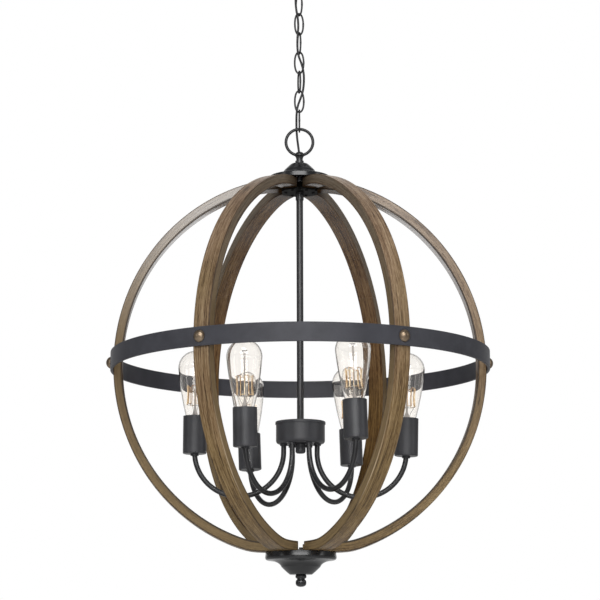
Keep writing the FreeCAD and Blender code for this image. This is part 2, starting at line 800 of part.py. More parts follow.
def make_bulbs():
    """Bulbs stand on the lampholders' floors: a screw base, the glass, and the mount inside it."""
    seat = -arm_stub - cup_below_arm_end + cup_floor + holder_floor
    tip = base_tip_length
    insulator = tip + base_insulator_length
    shell_top = tip + base_length
    base = lathe([
        (0, 0),
        (base_tip_radius, 0),
        (base_tip_radius, tip),
        (base_radius, insulator),
        (base_radius, shell_top),
        (base_radius - base_wall, shell_top),
        (base_radius - base_wall, insulator + base_wall),
        (0, insulator + base_wall),
    ])
    wall = glass_wall
    start = insulator + base_insulator_length
    top = tip + glass_length
    throat = shell_top + glass_throat_share * (glass_length - base_length)
    wide = top - glass_widest_radius
    neck = glass_neck_radius - bulb_play / 2
    dome = glass_widest_radius * math.sqrt(2) / 2
    inner_dome = (glass_widest_radius - wall) * math.sqrt(2) / 2
    side_r = (glass_throat_radius + glass_widest_radius) / 2 + glass_bulge_share * glass_widest_radius
    side_z = (throat + wide) / 2
    glass = lathe([
        (0, start),
        (neck, start),
        (neck, shell_top),
        (glass_throat_radius, throat),
        (glass_widest_radius, wide, side_r, side_z),
        (0, top, dome, wide + dome),
        (0, top - wall),
        (glass_widest_radius - wall, wide, inner_dome, wide + inner_dome),
        (glass_throat_radius - wall, throat, side_r - wall, side_z),
        (neck - wall, shell_top),
        (neck - wall, start + wall),
        (0, start + wall),
    ])
    foot = start + wall
    mount = lathe([
        (0, foot),
        (mount_radius, foot),
        (rod_radius, foot + mount_height),
        (rod_radius, foot + rod_height),
        (0, foot + rod_height),
    ])
    low, high = foot + filament_cage_low, foot + filament_cage_high
    lead_r, lead_z = (mount_radius + rod_radius) / 2, foot + mount_height / 2
    route = []
    for n in range(filament_runs):
        turn = 2 * math.pi * n / filament_runs
        out = vec(math.cos(turn), math.sin(turn), 0)
        ends = [out * filament_cage_radius + UP * low, out * filament_cage_radius + UP * high]
        if n in (0, filament_runs - 1):
            ends.insert(0, out * lead_r + UP * lead_z)
        route += ends[::-1] if n % 2 else ends
    line, _ = rounded_route(route)
    section = Part.Wire(Part.makeCircle(filament_wire / 2, route[0], route[1] - route[0]))
    filament = line.makePipeShell([section], True, False)
    filament = filament.cut(mount)
    at = vec(2 * arm_bend_radius, 0, seat)
    for n in range(rib_count):
        placed = []
        for shape in (base, mount, filament, glass):
            piece = shape.copy()
            piece.translate(at)
            placed.append(on_arm(piece, n))
        keep(f"bulb_base_{n + 1}", *placed[:3])
        keep(f"bulb_glass_{n + 1}", placed[3])


def make_foot():
    wall = foot_wall
    top = rib_bottom_z
    rim_z = top - foot_rim_height
    step_z = top - foot_step_height
    bell_z = top - foot_bell_drop
    low = top - foot_height
    bell_mid_r = (foot_step_radius + 2 * foot_bell_radius) / 3
    bell_mid_z = (2 * rim_z + bell_z) / 3
    mouth_r = foot_neck_radius + (foot_bell_radius - foot_neck_radius) * 0.42
    mouth_z = bell_z + (low - bell_z) * 0.62
    cap = lathe([
        (foot_rim_radius, top),
        (foot_rim_radius, step_z),
        (foot_step_radius, rim_z, foot_rim_radius - wall / 2, rim_z + wall / 2),
        (foot_bell_radius, bell_z, bell_mid_r, bell_mid_z),
        (foot_neck_radius, low, mouth_r, mouth_z),
        (stud_radius + stud_play, low),
        (stud_radius + stud_play, low + wall),
        (foot_neck_radius - wall, low + wall),
        (foot_bell_radius - wall, bell_z + wall / 2),
        (foot_bell_radius - wall, step_z + wall),
        (foot_rim_radius - 2 * wall, step_z + wall),
        (foot_rim_radius - 2 * wall, top),
    ])
    keep("bottom_cap", cap)
    plate_radius = foot_rim_radius - 2 * wall - foot_plate_play
    plate = tube(plate_radius, stud_radius + stud_play, top - foot_plate_thickness, top)
    plate = with_screw_holes(plate, foot_screw_circle, top - wall - foot_plate_thickness, top + wall)
    keep("bottom_plate", plate)
    stud = rod(stud_radius, low - finial_bead_height, top + stud_rise)
    keep("bottom_stud", stud.fuse(hexagon(stud_nut_radius, top, top + stud_nut_height)))
    bead = low - finial_bead_height
    ball_z = low - finial_ball_drop
    tip_r, tip_z = dome_middle(finial_ball_radius, finial_ball_drop - finial_height)
    finial = lathe([
        (stud_radius, low),
        (finial_bead_radius * 0.86, low),
        (finial_bead_radius * 0.86, bead, finial_bead_radius, (low + bead) / 2),
        (finial_neck_radius, bead),
        (finial_neck_radius, low - finial_neck_drop),
        (finial_ball_radius, ball_z,
         (finial_neck_radius + finial_ball_radius) / 2, low - finial_neck_drop * 1.15),
        (0, low - finial_height, tip_r, ball_z + tip_z),
        (0, bead),
        (stud_radius, bead),
    ])
    keep("finial", finial)


def main():
    make_ceiling_fitting()
    make_chain()
    make_cord()
    make_swivel_head()
    make_top_cap()
    make_ribs()
    make_top_plate()
    make_rib_screws()
    make_band()
    make_stem()
    make_hub()
    make_arms()
    make_cups()
    make_bulbs()
    make_foot()
    os.makedirs("parts", exist_ok=True)
    for name, solids in nodes.items():
        found = [solid for piece in solids for solid in piece.Solids]
        shape = found[0] if len(found) == 1 else Part.makeCompound(found)
        if not shape.isValid():
            print("not valid:", name)
        shape.exportStep(f"parts/{name}.step")
    print(len(nodes), "nodes")
    print("eye", eye_z, "globe", globe_z, "band", band_z, "hub floor", hub_floor_z)


main()
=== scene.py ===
import math

import bmesh
import bpy
import numpy as np
from mathutils import Matrix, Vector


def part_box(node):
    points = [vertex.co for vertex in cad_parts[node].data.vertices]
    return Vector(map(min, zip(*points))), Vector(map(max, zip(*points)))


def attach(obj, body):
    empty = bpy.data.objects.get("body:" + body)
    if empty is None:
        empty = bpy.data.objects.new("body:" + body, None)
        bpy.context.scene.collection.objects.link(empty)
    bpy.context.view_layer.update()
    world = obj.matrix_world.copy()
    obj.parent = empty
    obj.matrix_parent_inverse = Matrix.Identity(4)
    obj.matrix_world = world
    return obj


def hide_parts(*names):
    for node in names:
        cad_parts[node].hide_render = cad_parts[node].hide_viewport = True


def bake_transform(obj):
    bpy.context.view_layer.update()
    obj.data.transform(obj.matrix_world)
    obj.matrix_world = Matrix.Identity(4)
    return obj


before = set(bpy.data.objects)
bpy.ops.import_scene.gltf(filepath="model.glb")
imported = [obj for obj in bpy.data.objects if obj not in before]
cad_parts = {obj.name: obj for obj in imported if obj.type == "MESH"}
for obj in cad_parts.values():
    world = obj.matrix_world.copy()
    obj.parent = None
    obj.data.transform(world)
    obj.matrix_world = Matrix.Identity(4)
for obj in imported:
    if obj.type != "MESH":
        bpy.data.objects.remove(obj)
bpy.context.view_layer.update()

scene = bpy.context.scene
mm = 0.001
print("frame loaded:", len(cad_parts), "nodes")


def heightsOf(node):
    # lowest and highest height of a CAD node, in millimetres
    low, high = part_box(node)
    return low.z / mm, high.z / mm


def middleOf(node):
    return sum(heightsOf(node)) / 2


# camera, fitted to the outlines of the band and ribs. The roll is the small lean that the picture has

view = {"place": (0.0, -3.358, -1.209), "tiltUp": 10.59, "roll": -0.2, "pixelLens": 2099.0, "frame": 600,
        "sensor": 36.0, "clipEnd": 60.0}

cameraData = bpy.data.cameras.new("camera")
cameraData.sensor_width = view["sensor"]
cameraData.lens = view["pixelLens"] * view["sensor"] / view["frame"]
cameraData.clip_end = view["clipEnd"]
camera = bpy.data.objects.new("camera", cameraData)
camera.location = view["place"]
camera.rotation_euler = (Matrix.Rotation(math.radians(90 + view["tiltUp"]), 3, "X") @
                         Matrix.Rotation(math.radians(view["roll"]), 3, "Z")).to_euler()
scene.collection.objects.link(camera)
scene.camera = camera


# surfaces worked out on grids, in millimetres. The mesh is in metres, and so are merge and leastEdge

surface = {"merge": 1e-6, "leastEdge": 1e-7, "bowPoints": 13, "cornerPoints": 5, "cornerShare": 0.45,
           "straight": -0.94, "leastStep": 1e-5, "endInset": 0.05, "endShare": 0.93}


def gridFaces(rows, columns, wrapRows, wrapColumns):
    # every cell's four corners, with the last row or column joined to the first where it wraps
    i, j = np.meshgrid(np.arange(rows if wrapRows else rows - 1),
                       np.arange(columns if wrapColumns else columns - 1), indexing="ij")
    i, j = i.ravel(), j.ravel()
    corners = [(i, j), (i, j + 1), (i + 1, j + 1), (i + 1, j)]
    return np.stack([(a % rows) * columns + b % columns for a, b in corners], 1), np.stack(
        [a * (columns + 1) + b for a, b in corners], 1)


def makeObject(name, grids, material):
    # grids: list of (points [rows, columns, 3] in metres, wrapRows, wrapColumns, uv or None, values or None)
    points, faces, uvs, values = [], [], [], {}
    start = 0
    for gridPoints, wrapRows, wrapColumns, uv, extra in grids:
        rows, columns = gridPoints.shape[:2]
        cells, corners = gridFaces(rows, columns, wrapRows, wrapColumns)
        points.append(gridPoints.reshape(-1, 3))
        faces.append(cells + start)
        start += rows * columns
        uvs.append(np.zeros((cells.size, 2)) if uv is None else uv.reshape(-1, 2)[corners.ravel()])
        for key, value in (extra or {}).items():
            values.setdefault(key, []).append(np.broadcast_to(value, (rows, columns)).ravel())
    points, faces, uvs = np.concatenate(points), np.concatenate(faces), np.concatenate(uvs)
    mesh = bpy.data.meshes.new(name)
    mesh.vertices.add(len(points))
    mesh.vertices.foreach_set("co", points.astype(np.float32).ravel())
    mesh.loops.add(faces.size)
    mesh.loops.foreach_set("vertex_index", faces.astype(np.int32).ravel())
    mesh.polygons.add(len(faces))
    mesh.polygons.foreach_set("loop_start", np.arange(0, faces.size, 4, dtype=np.int32))
    mesh.update(calc_edges=True)
    mesh.uv_layers.new(name="UVMap").data.foreach_set("uv", uvs.astype(np.float32).ravel())
    for key, value in values.items():
        mesh.attributes.new(key, "FLOAT", "POINT").data.foreach_set(
            "value", np.concatenate(value).astype(np.float32))
    shell = bmesh.new()
    shell.from_mesh(mesh)
    bmesh.ops.remove_doubles(shell, verts=shell.verts, dist=surface["merge"])
    bmesh.ops.dissolve_degenerate(shell, edges=shell.edges, dist=surface["leastEdge"])
    shell.to_mesh(mesh)
    shell.free()
    mesh.polygons.foreach_set("use_smooth", np.ones(len(mesh.polygons), bool))
    mesh.update()
    piece = bpy.data.objects.new(name, mesh)
    scene.collection.objects.link(piece)
    piece.data.materials.append(material)
    return piece


def quadratic(first, pull, final, s):
    # (1 - s)^2 first + 2 s (1 - s) pull + s^2 final
    return (1 - s) ** 2 * first + 2 * s * (1 - s) * pull + s**2 * final


def outline(steps, edge, closed=True):
    # a section in (r, z): straight runs, bows through a point between, and each sharp corner turned into a
    # short quadratic curve of about this edge size
    last = np.array(steps[0], float)
    line = [last[None]]
    s = np.linspace(0, 1, surface["bowPoints"])[1:, None]
    for step in steps[1:]:
        end = np.array(step[:2], float)
        if len(step) == 4:
            line.append(quadratic(last, 2 * np.array(step[2:], float) - (last + end) / 2, end, s))
        else:
            line.append(end[None])
        last = end
    line = np.concatenate(line)
    before, after = np.roll(line, 1, 0) - line, np.roll(line, -1, 0) - line
    lengthBefore = np.linalg.norm(before, axis=1, keepdims=True)
    lengthAfter = np.linalg.norm(after, axis=1, keepdims=True)
    turn = (before * after).sum(1, keepdims=True) / lengthBefore / lengthAfter
    most = surface["cornerShare"] * np.minimum(lengthBefore, lengthAfter)
    cut = np.minimum(edge, most) * (turn > surface["straight"])
    if not closed:
        cut[[0, -1]] = 0
    s = np.linspace(0, 1, surface["cornerPoints"])[None, :, None]
    first = (line + before / lengthBefore * cut)[:, None]
    final = (line + after / lengthAfter * cut)[:, None]
    smooth = quadratic(first, line[:, None], final, s).reshape(-1, 2)
    keep = np.linalg.norm(smooth - np.roll(smooth, 1, 0), axis=1) > surface["leastStep"]
    keep[0] = True
    return smooth[keep]


def turnedGrid(section, around=96, closed=True, place=None):
    # a section turned about Z: x = r cos a, y = r sin a. Outside surfaces run upwards
    angle = np.arange(around) * 2 * np.pi / around
    r, z = section[:, 0, None], section[:, 1, None]
    points = np.stack([r * np.cos(angle), r * np.sin(angle), z + 0 * angle], -1)
    if place is not None:
        points = place(points)
    return points * mm, closed, True, None, None


def tubeGrid(path, sideways, radius, around=20, closed=False, place=None):
    # a round section carried along a path. The section's first direction is sideways, squared to the path
    ahead = np.roll(path, -1, 0) - np.roll(path, 1, 0)
    if not closed:
        ahead[0], ahead[-1] = path[1] - path[0], path[-1] - path[-2]
    ahead /= np.linalg.norm(ahead, axis=1, keepdims=True)
    side = np.broadcast_to(np.asarray(sideways, float), path.shape)
    side = side - (side * ahead).sum(1, keepdims=True) * ahead
    side /= np.linalg.norm(side, axis=1, keepdims=True)
    up = np.cross(ahead, side)
    radius = np.broadcast_to(np.asarray(radius, float), len(path)).copy()
    if not closed:
        # both ends are shut with a rounded edge
        inset, share = surface["endInset"], surface["endShare"]
        width, tail = radius[0], radius[-1]
        path = np.concatenate([path[:1] + ahead[:1] * width * d for d in (0, 0, inset)] + [path[1:-1]] +
                              [path[-1:] - ahead[-1:] * tail * d for d in (inset, 0, 0)])
        side = np.concatenate([side[:1]] * 2 + [side] + [side[-1:]] * 2)
        up = np.concatenate([up[:1]] * 2 + [up] + [up[-1:]] * 2)
        radius = np.concatenate([[0, width * share, width], radius[1:-1], [tail, tail * share, 0]])
    angle = np.arange(around) * 2 * np.pi / around
    points = path[:, None] + radius[:, None, None] * (
        np.cos(angle)[None, :, None] * side[:, None] + np.sin(angle)[None, :, None] * up[:, None])
    along = np.concatenate([[0], np.cumsum(np.linalg.norm(np.diff(path, axis=0), axis=1))])
    if closed:
        along = np.append(along, 2 * along[-1] - along[-2])
    uv = np.stack(np.broadcast_arrays(along[:, None] * mm, np.arange(around + 1)[None] / around), -1)
    if place is not None:
        points = place(points)
    return points * mm, closed, True, uv, None


def fit(piece, body, nodes, weighted=True):
    # the piece rides on its body and stands for its nodes, which it hides
    if weighted:
        piece.modifiers.new("weightedNormal", "WEIGHTED_NORMAL").keep_sharp = True
    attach(piece, body)
    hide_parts(*nodes)


# materials

def startMaterial(name, **inputs):
    material = bpy.data.materials.new(name)
    material.use_nodes = True
    shader = material.node_tree.nodes["Principled BSDF"]
    for key, value in inputs.items():
        shader.inputs[key.replace("_", " ")].default_value = value
    return material, material.node_tree, shader


def patternNode(tree, source, stretch, detail=4.0, roughness=0.55, warp=0.0):
    # noise over a stretched copy of the coordinates
    mapping = tree.nodes.new("ShaderNodeMapping")
    mapping.inputs["Scale"].default_value = stretch
    tree.links.new(source, mapping.inputs["Vector"])
    noise = tree.nodes.new("ShaderNodeTexNoise")
    noise.inputs["Scale"].default_value = 1.0
    noise.inputs["Detail"].default_value = detail
    noise.inputs["Roughness"].default_value = roughness
    noise.inputs["Distortion"].default_value = warp
    tree.links.new(mapping.outputs["Vector"], noise.inputs["Vector"])
    return noise.outputs["Fac"]


def rampNode(tree, factor, stops):
    ramp = tree.nodes.new("ShaderNodeValToRGB")
    elements = ramp.color_ramp.elements
    while len(elements) < len(stops):
        elements.new(0.5)
    for element, (position, colour) in zip(elements, stops):
        element.position = position
        element.color = (*colour, 1)
    tree.links.new(factor, ramp.inputs["Fac"])
    return ramp.outputs["Color"]


def mixNode(tree, factor, first, second, blend="MIX"):
    mix = tree.nodes.new("ShaderNodeMix")
    mix.data_type = "RGBA"
    mix.blend_type = blend
    for socket, value in ((mix.inputs[0], factor), (mix.inputs[6], first), (mix.inputs[7], second)):
        if isinstance(value, bpy.types.NodeSocket):
            tree.links.new(value, socket)
        else:
            socket.default_value = value if isinstance(value, float) else (*value, 1)
    return mix.outputs[2]


def mixShaderNode(tree, factor, first, second):
    mix = tree.nodes.new("ShaderNodeMixShader")
    for socket, value in zip(mix.inputs, (factor, first, second)):
        tree.links.new(value, socket)
    return mix.outputs["Shader"]


def rangeNode(tree, value, low, high, newLow=0.0, newHigh=1.0):
    remap = tree.nodes.new("ShaderNodeMapRange")
    tree.links.new(value, remap.inputs["Value"])
    for key, number in (("From Min", low), ("From Max", high), ("To Min", newLow), ("To Max", newHigh)):
        remap.inputs[key].default_value = number
    return remap.outputs["Result"]


def mathNode(tree, operation, first, second):
    node = tree.nodes.new("ShaderNodeMath")
    node.operation = operation
    for socket, value in zip(node.inputs, (first, second)):
        if isinstance(value, bpy.types.NodeSocket):
            tree.links.new(value, socket)
        else:
            socket.default_value = value
    return node.outputs["Value"]


def times(tree, first, second):
    return mathNode(tree, "MULTIPLY", first, second)


def plus(tree, first, second):
    return mathNode(tree, "ADD", first, second)


def restOf(tree, value):
    # one less the value
    return mathNode(tree, "SUBTRACT", 1.0, value)


def larger(tree, first, second):
    return mathNode(tree, "MAXIMUM", first, second)


def bumpNode(tree, shader, height, strength, distance, under=None):
    bump = tree.nodes.new("ShaderNodeBump")
    bump.inputs["Strength"].default_value = strength
    bump.inputs["Distance"].default_value = distance
    tree.links.new(height, bump.inputs["Height"])
    if under is not None:
        tree.links.new(under, bump.inputs["Normal"])
    tree.links.new(bump.outputs["Normal"], shader.inputs["Normal"])
    return bump.outputs["Normal"]


def coordinates(tree, kind="Object"):
    return tree.nodes.new("ShaderNodeTexCoord").outputs[kind]


def attributeNode(tree, name):
    node = tree.nodes.new("ShaderNodeAttribute")
    node.attribute_name = name
    return node.outputs["Fac"]


# sprayed metal: darker and lighter tone, roughness, specular level, grain of the orange peel, its depth, speckle

spray = {"cloud": (28, 28, 28), "cloudRange": (0.35, 0.65), "speckFiner": 1.7, "speckRange": (0.62, 0.72),
         "speckLighter": 1.6, "glossRange": (0.3, 0.7), "glossSpan": (0.015, 0.02), "peelHeight": 0.0006}


def paint(name, dark, light, roughness, specular, grain=700.0, grainBump=0.01, speckle=0.04):
    # a fine orange peel, a soft cloud in the tone, and a gloss that varies a little
    material, tree, shader = startMaterial(name, Specular_IOR_Level=specular)
    place = coordinates(tree)
    cloud = patternNode(tree, place, spray["cloud"], 3.0)
    speck = patternNode(tree, place, (grain * spray["speckFiner"],) * 3, 2.0)
    tone = mixNode(tree, rangeNode(tree, cloud, *spray["cloudRange"]), dark, light)
    speckled = rangeNode(tree, speck, *spray["speckRange"], 0.0, speckle)
    tone = mixNode(tree, speckled, tone, tuple(spray["speckLighter"] * c for c in light))
    tree.links.new(tone, shader.inputs["Base Color"])
    less, more = spray["glossSpan"]
    gloss = rangeNode(tree, cloud, *spray["glossRange"], roughness - less, roughness + more)
    tree.links.new(gloss, shader.inputs["Roughness"])
    peel = patternNode(tree, place, (grain,) * 3, 3.0)
    bumpNode(tree, shader, peel, grainBump, spray["peelHeight"])
    return material


charcoal = paint("charcoalPaint", (0.03, 0.0305, 0.037), (0.04, 0.0405, 0.049), 0.5, 0.3, 700.0, 0.03)
capPaint = paint("capPaint", (0.005, 0.0052, 0.006), (0.008, 0.0082, 0.0095), 0.22, 0.5, 700.0, 0.002, 0.0)
hubCharcoal = paint("hubPaint", (0.03, 0.0305, 0.034), (0.039, 0.0395, 0.044), 0.4, 0.45)
blackPaint = paint("blackPaint", (0.007, 0.007, 0.008), (0.011, 0.011, 0.0125), 0.35, 0.6, 500.0, 0.001, 0.0)
chainPaint = paint("chainPaint", (0.006, 0.006, 0.007), (0.01, 0.01, 0.011), 0.38, 0.45, 500.0, 0.001, 0.0)
mattBlack = paint("mattBlack", (0.004, 0.004, 0.004), (0.007, 0.0065, 0.006), 0.6, 0.05, 900.0, 0.03, 0.0)


def woodMaterial():
    # brushed brown stain over straight grain: short pores and broken dark streaks along the rib, slow changes of
    # tone and plainer satin sides. Painted shade darkens the wood towards the bottom, near the axis under the top
    # cap, on some ribs and along the arrises, and a painted highlight runs along one arris. U runs along the rib and
    # V round its section, both in metres
    material, tree, shader = startMaterial("weatheredWood", Specular_IOR_Level=0.3)
    place = coordinates(tree, "UV")
    pores = patternNode(tree, place, (90, 1500, 1), 3.0, 0.6, 0.2)
    streak = patternNode(tree, place, (16, 480, 1), 4.0, 0.62, 0.4)
    stroke = patternNode(tree, place, (5, 150, 1), 3.0, 0.55, 0.4)
    solid = tree.nodes.new("ShaderNodeSeparateXYZ")
    tree.links.new(coordinates(tree), solid.inputs[0])
    # painted shade: the wood is turned more olive and made darker towards the bottom, as if less lit there
    height = rangeNode(tree, solid.outputs["Z"], -0.92, -0.42)
    shadeBelow = restOf(tree, height)
    patch = patternNode(tree, place, (5, 14, 1), 2.0, 0.5)
    tone = plus(tree, times(tree, patch, 0.7), times(tree, shadeBelow, 0.3))
    grain = plus(tree, times(tree, pores, 0.36), plus(tree, times(tree, streak, 0.44), times(tree, stroke, 0.2)))
    brown = rampNode(tree, grain, [(0.4, (0.045, 0.025, 0.014)), (0.46, (0.135, 0.083, 0.05)),
                                   (0.52, (0.235, 0.16, 0.1)), (0.6, (0.345, 0.265, 0.185))])
    olive = rampNode(tree, grain, [(0.4, (0.036, 0.022, 0.009)), (0.46, (0.12, 0.079, 0.036)),
                                   (0.52, (0.212, 0.15, 0.076)), (0.6, (0.32, 0.245, 0.145))])
    colour = mixNode(tree, rangeNode(tree, tone, 0.43, 0.64), brown, olive)
    colour = mixNode(tree, shadeBelow, colour, (0.82, 0.73, 0.54), "MULTIPLY")
    side = attributeNode(tree, "side")
    upper = rangeNode(tree, solid.outputs["Z"], -0.66, -0.44)
    plain = mixNode(tree, upper, (0.175, 0.127, 0.068), (0.12, 0.103, 0.08))
    colour = mixNode(tree, times(tree, side, 0.7), colour, plain)
    inner = attributeNode(tree, "inner")
    colour = mixNode(tree, times(tree, inner, 0.9), colour, (0.55, 0.44, 0.29), "MULTIPLY")
    # painted shade: near the axis under the top cap, and on the sides, the whole length or the middle of some ribs
    paintedShade = attributeNode(tree, "paintedShade")
    colour = mixNode(tree, paintedShade, colour, (0.26, 0.235, 0.21), "MULTIPLY")
    crack = rangeNode(tree, streak, 0.3, 0.4, 1.0, 0.0)
    colour = mixNode(tree, times(tree, crack, 0.7), colour, (0.03, 0.018, 0.009))
    # painted shade: dark lines along the arrises and where a side meets the inside
    arris = attributeNode(tree, "arris")
    colour = mixNode(tree, times(tree, arris, 0.9), colour, (0.02, 0.014, 0.009))
    # painted highlight: a light line along one outer arris of the lower half
    paintedArrisHighlight = times(tree, attributeNode(tree, "paintedArrisHighlight"), rangeNode(tree, stroke, 0.35, 0.6, 0.4, 1.0))
    colour = mixNode(tree, paintedArrisHighlight, colour, (0.4, 0.31, 0.2))
    tree.links.new(colour, shader.inputs["Base Color"])
    smooth = larger(tree, side, inner)
    satin = rangeNode(tree, grain, 0.38, 0.64, 0.45, 0.32)
    polish = rangeNode(tree, upper, 0.0, 1.0, 0.42, 0.16)
    gloss = plus(tree, times(tree, satin, restOf(tree, smooth)), times(tree, smooth, polish))
    tree.links.new(gloss, shader.inputs["Roughness"])
    openShare = restOf(tree, paintedShade)
    shine = plus(tree, 0.26, times(tree, smooth, rangeNode(tree, upper, 0.0, 1.0, -0.16, 0.34)))
    tree.links.new(times(tree, shine, openShare), shader.inputs["Specular IOR Level"])
    waxed = times(tree, attributeNode(tree, "waxed"), upper)
    tree.links.new(times(tree, waxed, openShare), shader.inputs["Coat Weight"])
    shader.inputs["Coat Roughness"].default_value = 0.1
    depth = rangeNode(tree, side, 0.0, 1.0, 1.0, 0.008)
    fine = bumpNode(tree, shader, times(tree, pores, depth), 0.2, 0.0004)
    bumpNode(tree, shader, times(tree, streak, depth), 0.25, 0.0005, fine)
    return material


wood = woodMaterial()


def metalMaterial(name, dark, light, low, high, scale=220.0, scratch=(40, 40, 900)):
    # bare metal with a cloudy tone and fine scratches
    material, tree, shader = startMaterial(name, Metallic=1.0)
    place = coordinates(tree)
    cloud = patternNode(tree, place, (scale,) * 3, 4.0)
    tree.links.new(mixNode(tree, rangeNode(tree, cloud, 0.36, 0.64), dark, light), shader.inputs["Base Color"])
    lines = patternNode(tree, place, scratch, 3.0)
    tree.links.new(rangeNode(tree, lines, 0.3, 0.7, low, high), shader.inputs["Roughness"])
    bumpNode(tree, shader, lines, 0.1, 0.0003)
    return material


bronze = metalMaterial("antiqueBronze", (0.19, 0.14, 0.095), (0.28, 0.215, 0.15), 0.3, 0.4, 90.0, (300, 300, 300))
zinc = metalMaterial("zincPlate", (0.42, 0.42, 0.44), (0.6, 0.6, 0.61), 0.28, 0.42)
brass = metalMaterial("lampBrass", (0.5, 0.34, 0.13), (0.74, 0.55, 0.26), 0.2, 0.35)
solder = metalMaterial("solder", (0.4, 0.4, 0.4), (0.62, 0.62, 0.6), 0.3, 0.5)
nickelWire = metalMaterial("supportWire", (0.02, 0.018, 0.016), (0.07, 0.065, 0.06), 0.25, 0.4, 900.0)


def glazeMaterial(name, base, shade):
    # fired glaze: a cloudy tone under a clear coat with a faint ripple
    material, tree, shader = startMaterial(name, Roughness=0.22, Coat_Weight=0.4)
    place = coordinates(tree)
    cloud = patternNode(tree, place, (90, 90, 90), 3.0)
    tree.links.new(mixNode(tree, rangeNode(tree, cloud, 0.3, 0.7), base, shade), shader.inputs["Base Color"])
    bumpNode(tree, shader, patternNode(tree, place, (500, 500, 500), 2.0), 0.06, 0.0004)
    return material


porcelain = glazeMaterial("glazedHolder", (0.72, 0.7, 0.64), (0.6, 0.58, 0.52))
vitrite = glazeMaterial("blackGlassInsulator", (0.01, 0.009, 0.012), (0.02, 0.018, 0.022))


glass = {"bend": 1.42, "specular": 0.3, "tint": (0.8, 0.66, 0.55), "density": 60.0, "wave": (0.04, 0.0006),
         "cream": ((1.0, 0.995, 0.985), (1.0, 0.985, 0.955)), "edgeTone": (0.24, 0.235, 0.225),
         "edgeRange": (0.8, 0.95, 0.0, 0.95), "lineTone": (0.3, 0.295, 0.285, 1),
         "lineRange": (0.62, 0.82, 0.0, 0.5)}


def glassMaterial():
    # clear glass, darker and lined with grey where it is seen edge on: painted shade in place of the dark
    # surroundings that glass reflects at its edges. Light that only passes on its way to other pieces goes straight
    # through
    material, tree, shader = startMaterial("bulbGlass", Roughness=0.0, IOR=glass["bend"], Transmission_Weight=1.0,
                                           Specular_IOR_Level=glass["specular"])
    place = coordinates(tree)
    bumpNode(tree, shader, patternNode(tree, place, (45, 45, 45), 1.0), *glass["wave"])
    cream = mixNode(tree, patternNode(tree, place, (30, 30, 30), 2.0), *glass["cream"])
    rim = tree.nodes.new("ShaderNodeLayerWeight")
    rim.inputs["Blend"].default_value = 0.5
    edge = rangeNode(tree, rim.outputs["Facing"], *glass["edgeRange"])
    tree.links.new(mixNode(tree, edge, cream, glass["edgeTone"]), shader.inputs["Base Color"])
    clear = tree.nodes.new("ShaderNodeBsdfTransparent")
    rays = tree.nodes.new("ShaderNodeLightPath")
    passing = larger(tree, rays.outputs["Is Shadow Ray"], rays.outputs["Is Diffuse Ray"])
    shade = tree.nodes.new("ShaderNodeBsdfTransparent")
    shade.inputs["Color"].default_value = glass["lineTone"]
    lined = mixShaderNode(tree, rangeNode(tree, rim.outputs["Facing"], *glass["lineRange"]),
                          shader.outputs["BSDF"], shade.outputs["BSDF"])
    output = tree.nodes["Material Output"]
    tree.links.new(mixShaderNode(tree, passing, lined, clear.outputs["BSDF"]), output.inputs["Surface"])
    inside = tree.nodes.new("ShaderNodeVolumeAbsorption")
    inside.inputs["Color"].default_value = (*glass["tint"], 1)
    inside.inputs["Density"].default_value = glass["density"]
    tree.links.new(inside.outputs["Volume"], output.inputs["Volume"])
    return material


bulbGlass = glassMaterial()


def milkyGlass():
    # pressed glass of the bulb's inner foot and rod: half clear, with a faint cloud in it
    material, tree, shader = startMaterial("stemGlass", Roughness=0.35, IOR=1.3, Transmission_Weight=0.3,
                                           Specular_IOR_Level=0.15)
    cloud = patternNode(tree, coordinates(tree), (160, 160, 60), 3.0)
    tree.links.new(mixNode(tree, cloud, (0.42, 0.39, 0.37), (0.62, 0.59, 0.56)), shader.inputs["Base Color"])
    return material


stemGlass = milkyGlass()


def filamentMaterial():
    # coiled carbonised wire: copper brown and pale amber, with a faint glow painted in though the bulb is unlit
    material, tree, shader = startMaterial("filamentWire", Metallic=0.75, Roughness=0.38)
    place = coordinates(tree)
    coil = patternNode(tree, place, (700, 700, 2400), 2.0)
    patch = plus(tree, times(tree, coil, 0.4), times(tree, patternNode(tree, place, (110, 110, 40), 2.0), 0.6))
    colour = rampNode(tree, patch, [(0.4, (0.2, 0.11, 0.055)), (0.5, (0.5, 0.33, 0.17)), (0.6, (0.95, 0.84, 0.6))])
    tree.links.new(colour, shader.inputs["Base Color"])
    # painted light: the wire glows faintly in its own colours, though the bulb is not lit
    tree.links.new(colour, shader.inputs["Emission Color"])
    shader.inputs["Emission Strength"].default_value = 0.25
    bumpNode(tree, shader, coil, 0.3, 0.0003)
    return material


filamentWire = filamentMaterial()


def cordMaterial():
    # black sheath with a fine woven rib. U runs along the cord in metres, V once round it
    material, tree, shader = startMaterial("blackSheath", Specular_IOR_Level=0.35)
    place = coordinates(tree, "UV")
    weave = tree.nodes.new("ShaderNodeTexWave")
    weave.wave_type = "BANDS"
    weave.bands_direction = "DIAGONAL"
    mapping = tree.nodes.new("ShaderNodeMapping")
    mapping.inputs["Scale"].default_value = (520, 7, 1)
    tree.links.new(place, mapping.inputs["Vector"])
    tree.links.new(mapping.outputs["Vector"], weave.inputs["Vector"])
    weave.inputs["Scale"].default_value = 0.5
    cloud = patternNode(tree, place, (160, 3, 1), 3.0)
    tree.links.new(mixNode(tree, rangeNode(tree, cloud, 0.35, 0.65), (0.009, 0.009, 0.01), (0.02, 0.02, 0.021)),
                   shader.inputs["Base Color"])
    tree.links.new(rangeNode(tree, cloud, 0.3, 0.7, 0.4, 0.5), shader.inputs["Roughness"])
    bumpNode(tree, shader, weave.outputs["Fac"], 0.25, 0.0004)
    return material


sheath = cordMaterial()
print("materials made")
